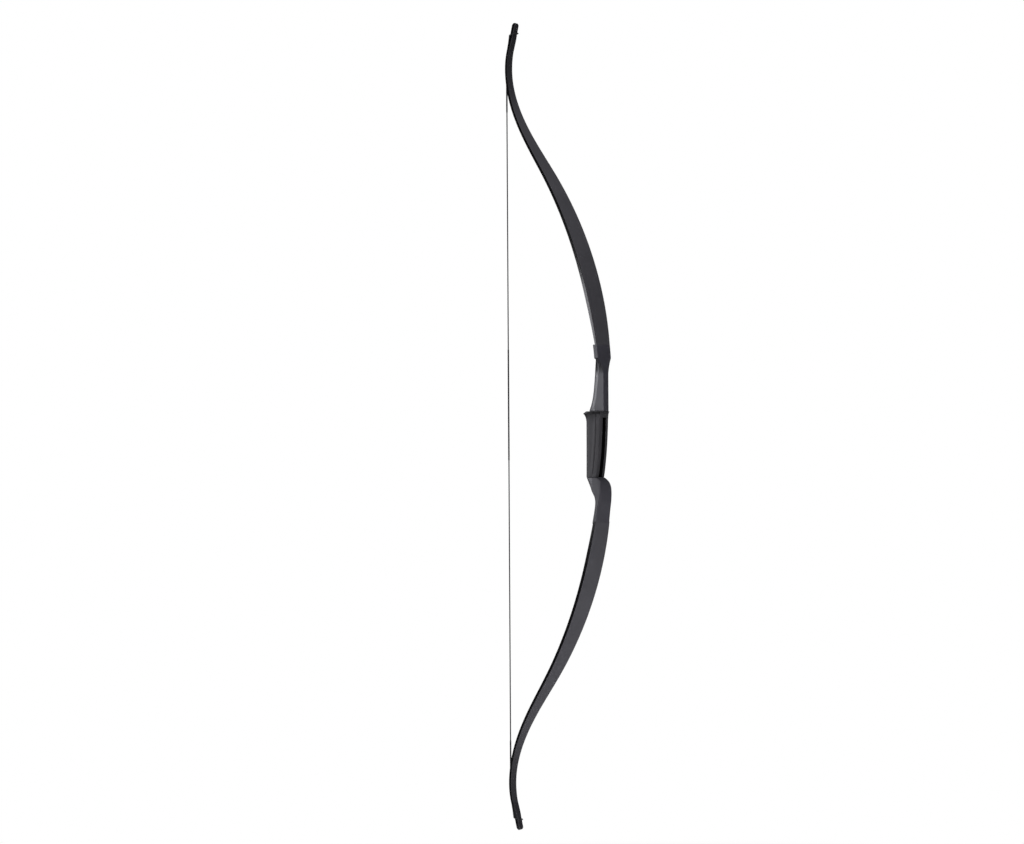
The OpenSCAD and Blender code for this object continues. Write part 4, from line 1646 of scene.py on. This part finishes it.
@dataclass
class Studio:
    """Pale floor, white backdrop, soft lamps and the camera at the photograph's angle.

    Its sizes are in metres and its angles in degrees.
    """

    floor_z: float = -0.790
    floor_r: float = 4.0
    floor_sides: int = 96
    frame_width_px: float = 1024.0
    mm_per_px: float = 1.833
    distance: float = 25.0
    sensor: float = 36.0  # width of the film, in millimetres
    aim: Point = (-0.1104, -0.0847, 0.0082)
    azimuth: float = 37.5
    roll: float = -0.33
    fade_from: float = 0.6  # the floor fades into the backdrop from here
    fade_to: float = 1.3
    fade_least: float = 0.72  # share of the backdrop in the floor under the bow
    air: float = 0.03  # strength of the even light from all round
    white: tuple[float, ...] = (1.0, 1.0, 1.0, 1.0)
    lamp_colour: Point = (0.95, 0.95, 1.0)  # daylight softboxes, a little cool

    def seen_or_lit(
        self, tree: bpy.types.NodeTree, lit: bpy.types.NodeSocket, seen: bpy.types.NodeSocket
    ) -> bpy.types.NodeSocket:
        """Show one shader to the camera and light the object with another.

        Args:
            tree: node tree of the floor or the world.
            lit: shader that lights the object.
            seen: shader that the camera sees.

        Returns:
            Output socket of the mixed shader.
        """
        ray = add(tree, "LightPath").outputs["Is Camera Ray"]
        return add(tree, "MixShader", {0: ray, 1: lit, 2: seen}).outputs[0]

    def floor(self) -> None:
        """Pale round floor that keeps the shadow and fades into the backdrop."""
        turns = [2 * math.pi * k / self.floor_sides for k in range(self.floor_sides)]
        reach, level = self.floor_r / MM, self.floor_z / MM
        points = [(0.0, 0.0, level)] + [(reach * math.cos(a), reach * math.sin(a), level) for a in turns]
        faces = [(0, 1 + k, 1 + (k + 1) % len(turns)) for k in range(len(turns))]
        floor = new_object("studio_floor", points, faces)
        material = bpy.data.materials.new("pale_paper_floor")
        material.use_nodes = True
        tree = material.node_tree
        tree.nodes.clear()
        place = add(tree, "TexCoord").outputs["Object"]
        away = add(tree, "VectorMath", {"operation": "LENGTH", 0: place}).outputs["Value"]
        reached = {"interpolation_type": "SMOOTHSTEP", "From Min": self.fade_from, "From Max": self.fade_to}
        share = {"To Min": self.fade_least, "To Max": 1.0, "Value": away}
        fade = add(tree, "MapRange", reached | share).outputs[0]
        paper = add(tree, "BsdfDiffuse", {"Color": linear("#f4f4f4")}).outputs[0]
        glow = add(tree, "Emission", {"Color": self.white, "Strength": 1.0}).outputs[0]
        faded = add(tree, "MixShader", {0: fade, 1: paper, 2: glow}).outputs[0]
        add(tree, "OutputMaterial", {"Surface": self.seen_or_lit(tree, paper, faded)})
        floor.data.materials.append(material)

    def world(self) -> None:
        """White behind the object, and a low even light on it."""
        world = bpy.data.worlds.new("studio_air")
        bpy.context.scene.world = world
        world.use_nodes = True
        tree = world.node_tree
        tree.nodes.clear()
        air = add(tree, "Background", {"Color": self.white, "Strength": self.air}).outputs[0]
        white = add(tree, "Background", {"Color": self.white, "Strength": 1.0}).outputs[0]
        add(tree, "OutputWorld", {"Surface": self.seen_or_lit(tree, air, white)})

    def lamp(self, name: str, at: Point, aim: Point, size: Flat, watts: float) -> None:
        """A softbox.

        Args:
            name: name of the lamp.
            at: its centre, in metres.
            aim: the point it faces, in metres.
            size: its width and height, in metres.
            watts: its power.
        """
        light = bpy.data.lights.new(name, "AREA")
        light.shape = "RECTANGLE"
        light.size, light.size_y = size
        light.energy = watts
        light.color = self.lamp_colour
        holder = bpy.data.objects.new(name, light)
        bpy.context.scene.collection.objects.link(holder)
        holder.location = at
        holder.rotation_mode = "QUATERNION"
        holder.rotation_quaternion = (Vector(aim) - Vector(at)).to_track_quat("-Z", "Y")
        holder.visible_camera = False

    def lamps(self) -> None:
        """Softboxes.

        A strip at the left for the edges, one behind it for the bevels, a fill in front and one above,
        and two small ones that lift the lower limb and the upper limb's face.
        """
        self.lamp("left_strip", (-0.93, -1.21, 0.13), (0.0, 0.0, 0.13), (0.2, 0.32), 3.0)
        self.lamp("left_back_softbox", (-1.38, -0.58, 0.2), (0.0, 0.0, 0.1), (0.4, 0.6), 8.0)
        self.lamp("front_softbox", (-0.4, -2.4, 0.3), (0.0, 0.0, 0.0), (1.2, 1.2), 7.0)
        self.lamp("overhead_softbox", (0.9, -0.3, 2.4), (0.0, 0.0, 0.0), (1.6, 1.6), 34.0)
        self.lamp("low_softbox", (0.8, -0.25, -0.72), (-0.1, 0.0, -0.5), (0.5, 0.25), 8.0)
        self.lamp("upper_softbox", (0.22, -0.12, 0.53), (-0.08, 0.0, 0.51), (0.15, 0.15), 0.27)

    def camera(self) -> None:
        """Long lens at mid height, on the bow's near and back side."""
        data = bpy.data.cameras.new("photo_camera")
        data.sensor_width = self.sensor
        data.lens = self.distance / (self.mm_per_px * self.frame_width_px * MM) * self.sensor
        data.clip_start, data.clip_end = 1.0, 400.0
        holder = bpy.data.objects.new("photo_camera", data)
        bpy.context.scene.collection.objects.link(holder)
        a = math.radians(self.azimuth)
        toward = Vector((math.sin(a), -math.cos(a), 0.0))
        holder.location = Vector(self.aim) + toward * self.distance
        holder.rotation_mode = "QUATERNION"
        look = (-toward).to_track_quat("-Z", "Y")
        look.rotate(Quaternion(toward, math.radians(self.roll)))
        holder.rotation_quaternion = look
        bpy.context.scene.camera = holder

    def build(self) -> None:
        """Set up the stage, the lamps and the camera."""
        self.floor()
        self.world()
        self.lamps()
        self.camera()
        bpy.context.scene.view_settings.view_transform = "Standard"
        LOG.info("studio is set up")


def main() -> None:
    """Build every sub-assembly, report its pieces in the log, and set up the studio."""
    logging.basicConfig(level=logging.INFO, format="%(name)s: %(message)s")
    riser = Riser()
    riser.build()
    Grip(riser).build()
    Limb(Half.UPPER, riser.upper_seam).build()
    Limb(Half.LOWER, riser.lower_seam).build()
    BowString().build()
    Studio().build()


if __name__ == "__main__":
    main()
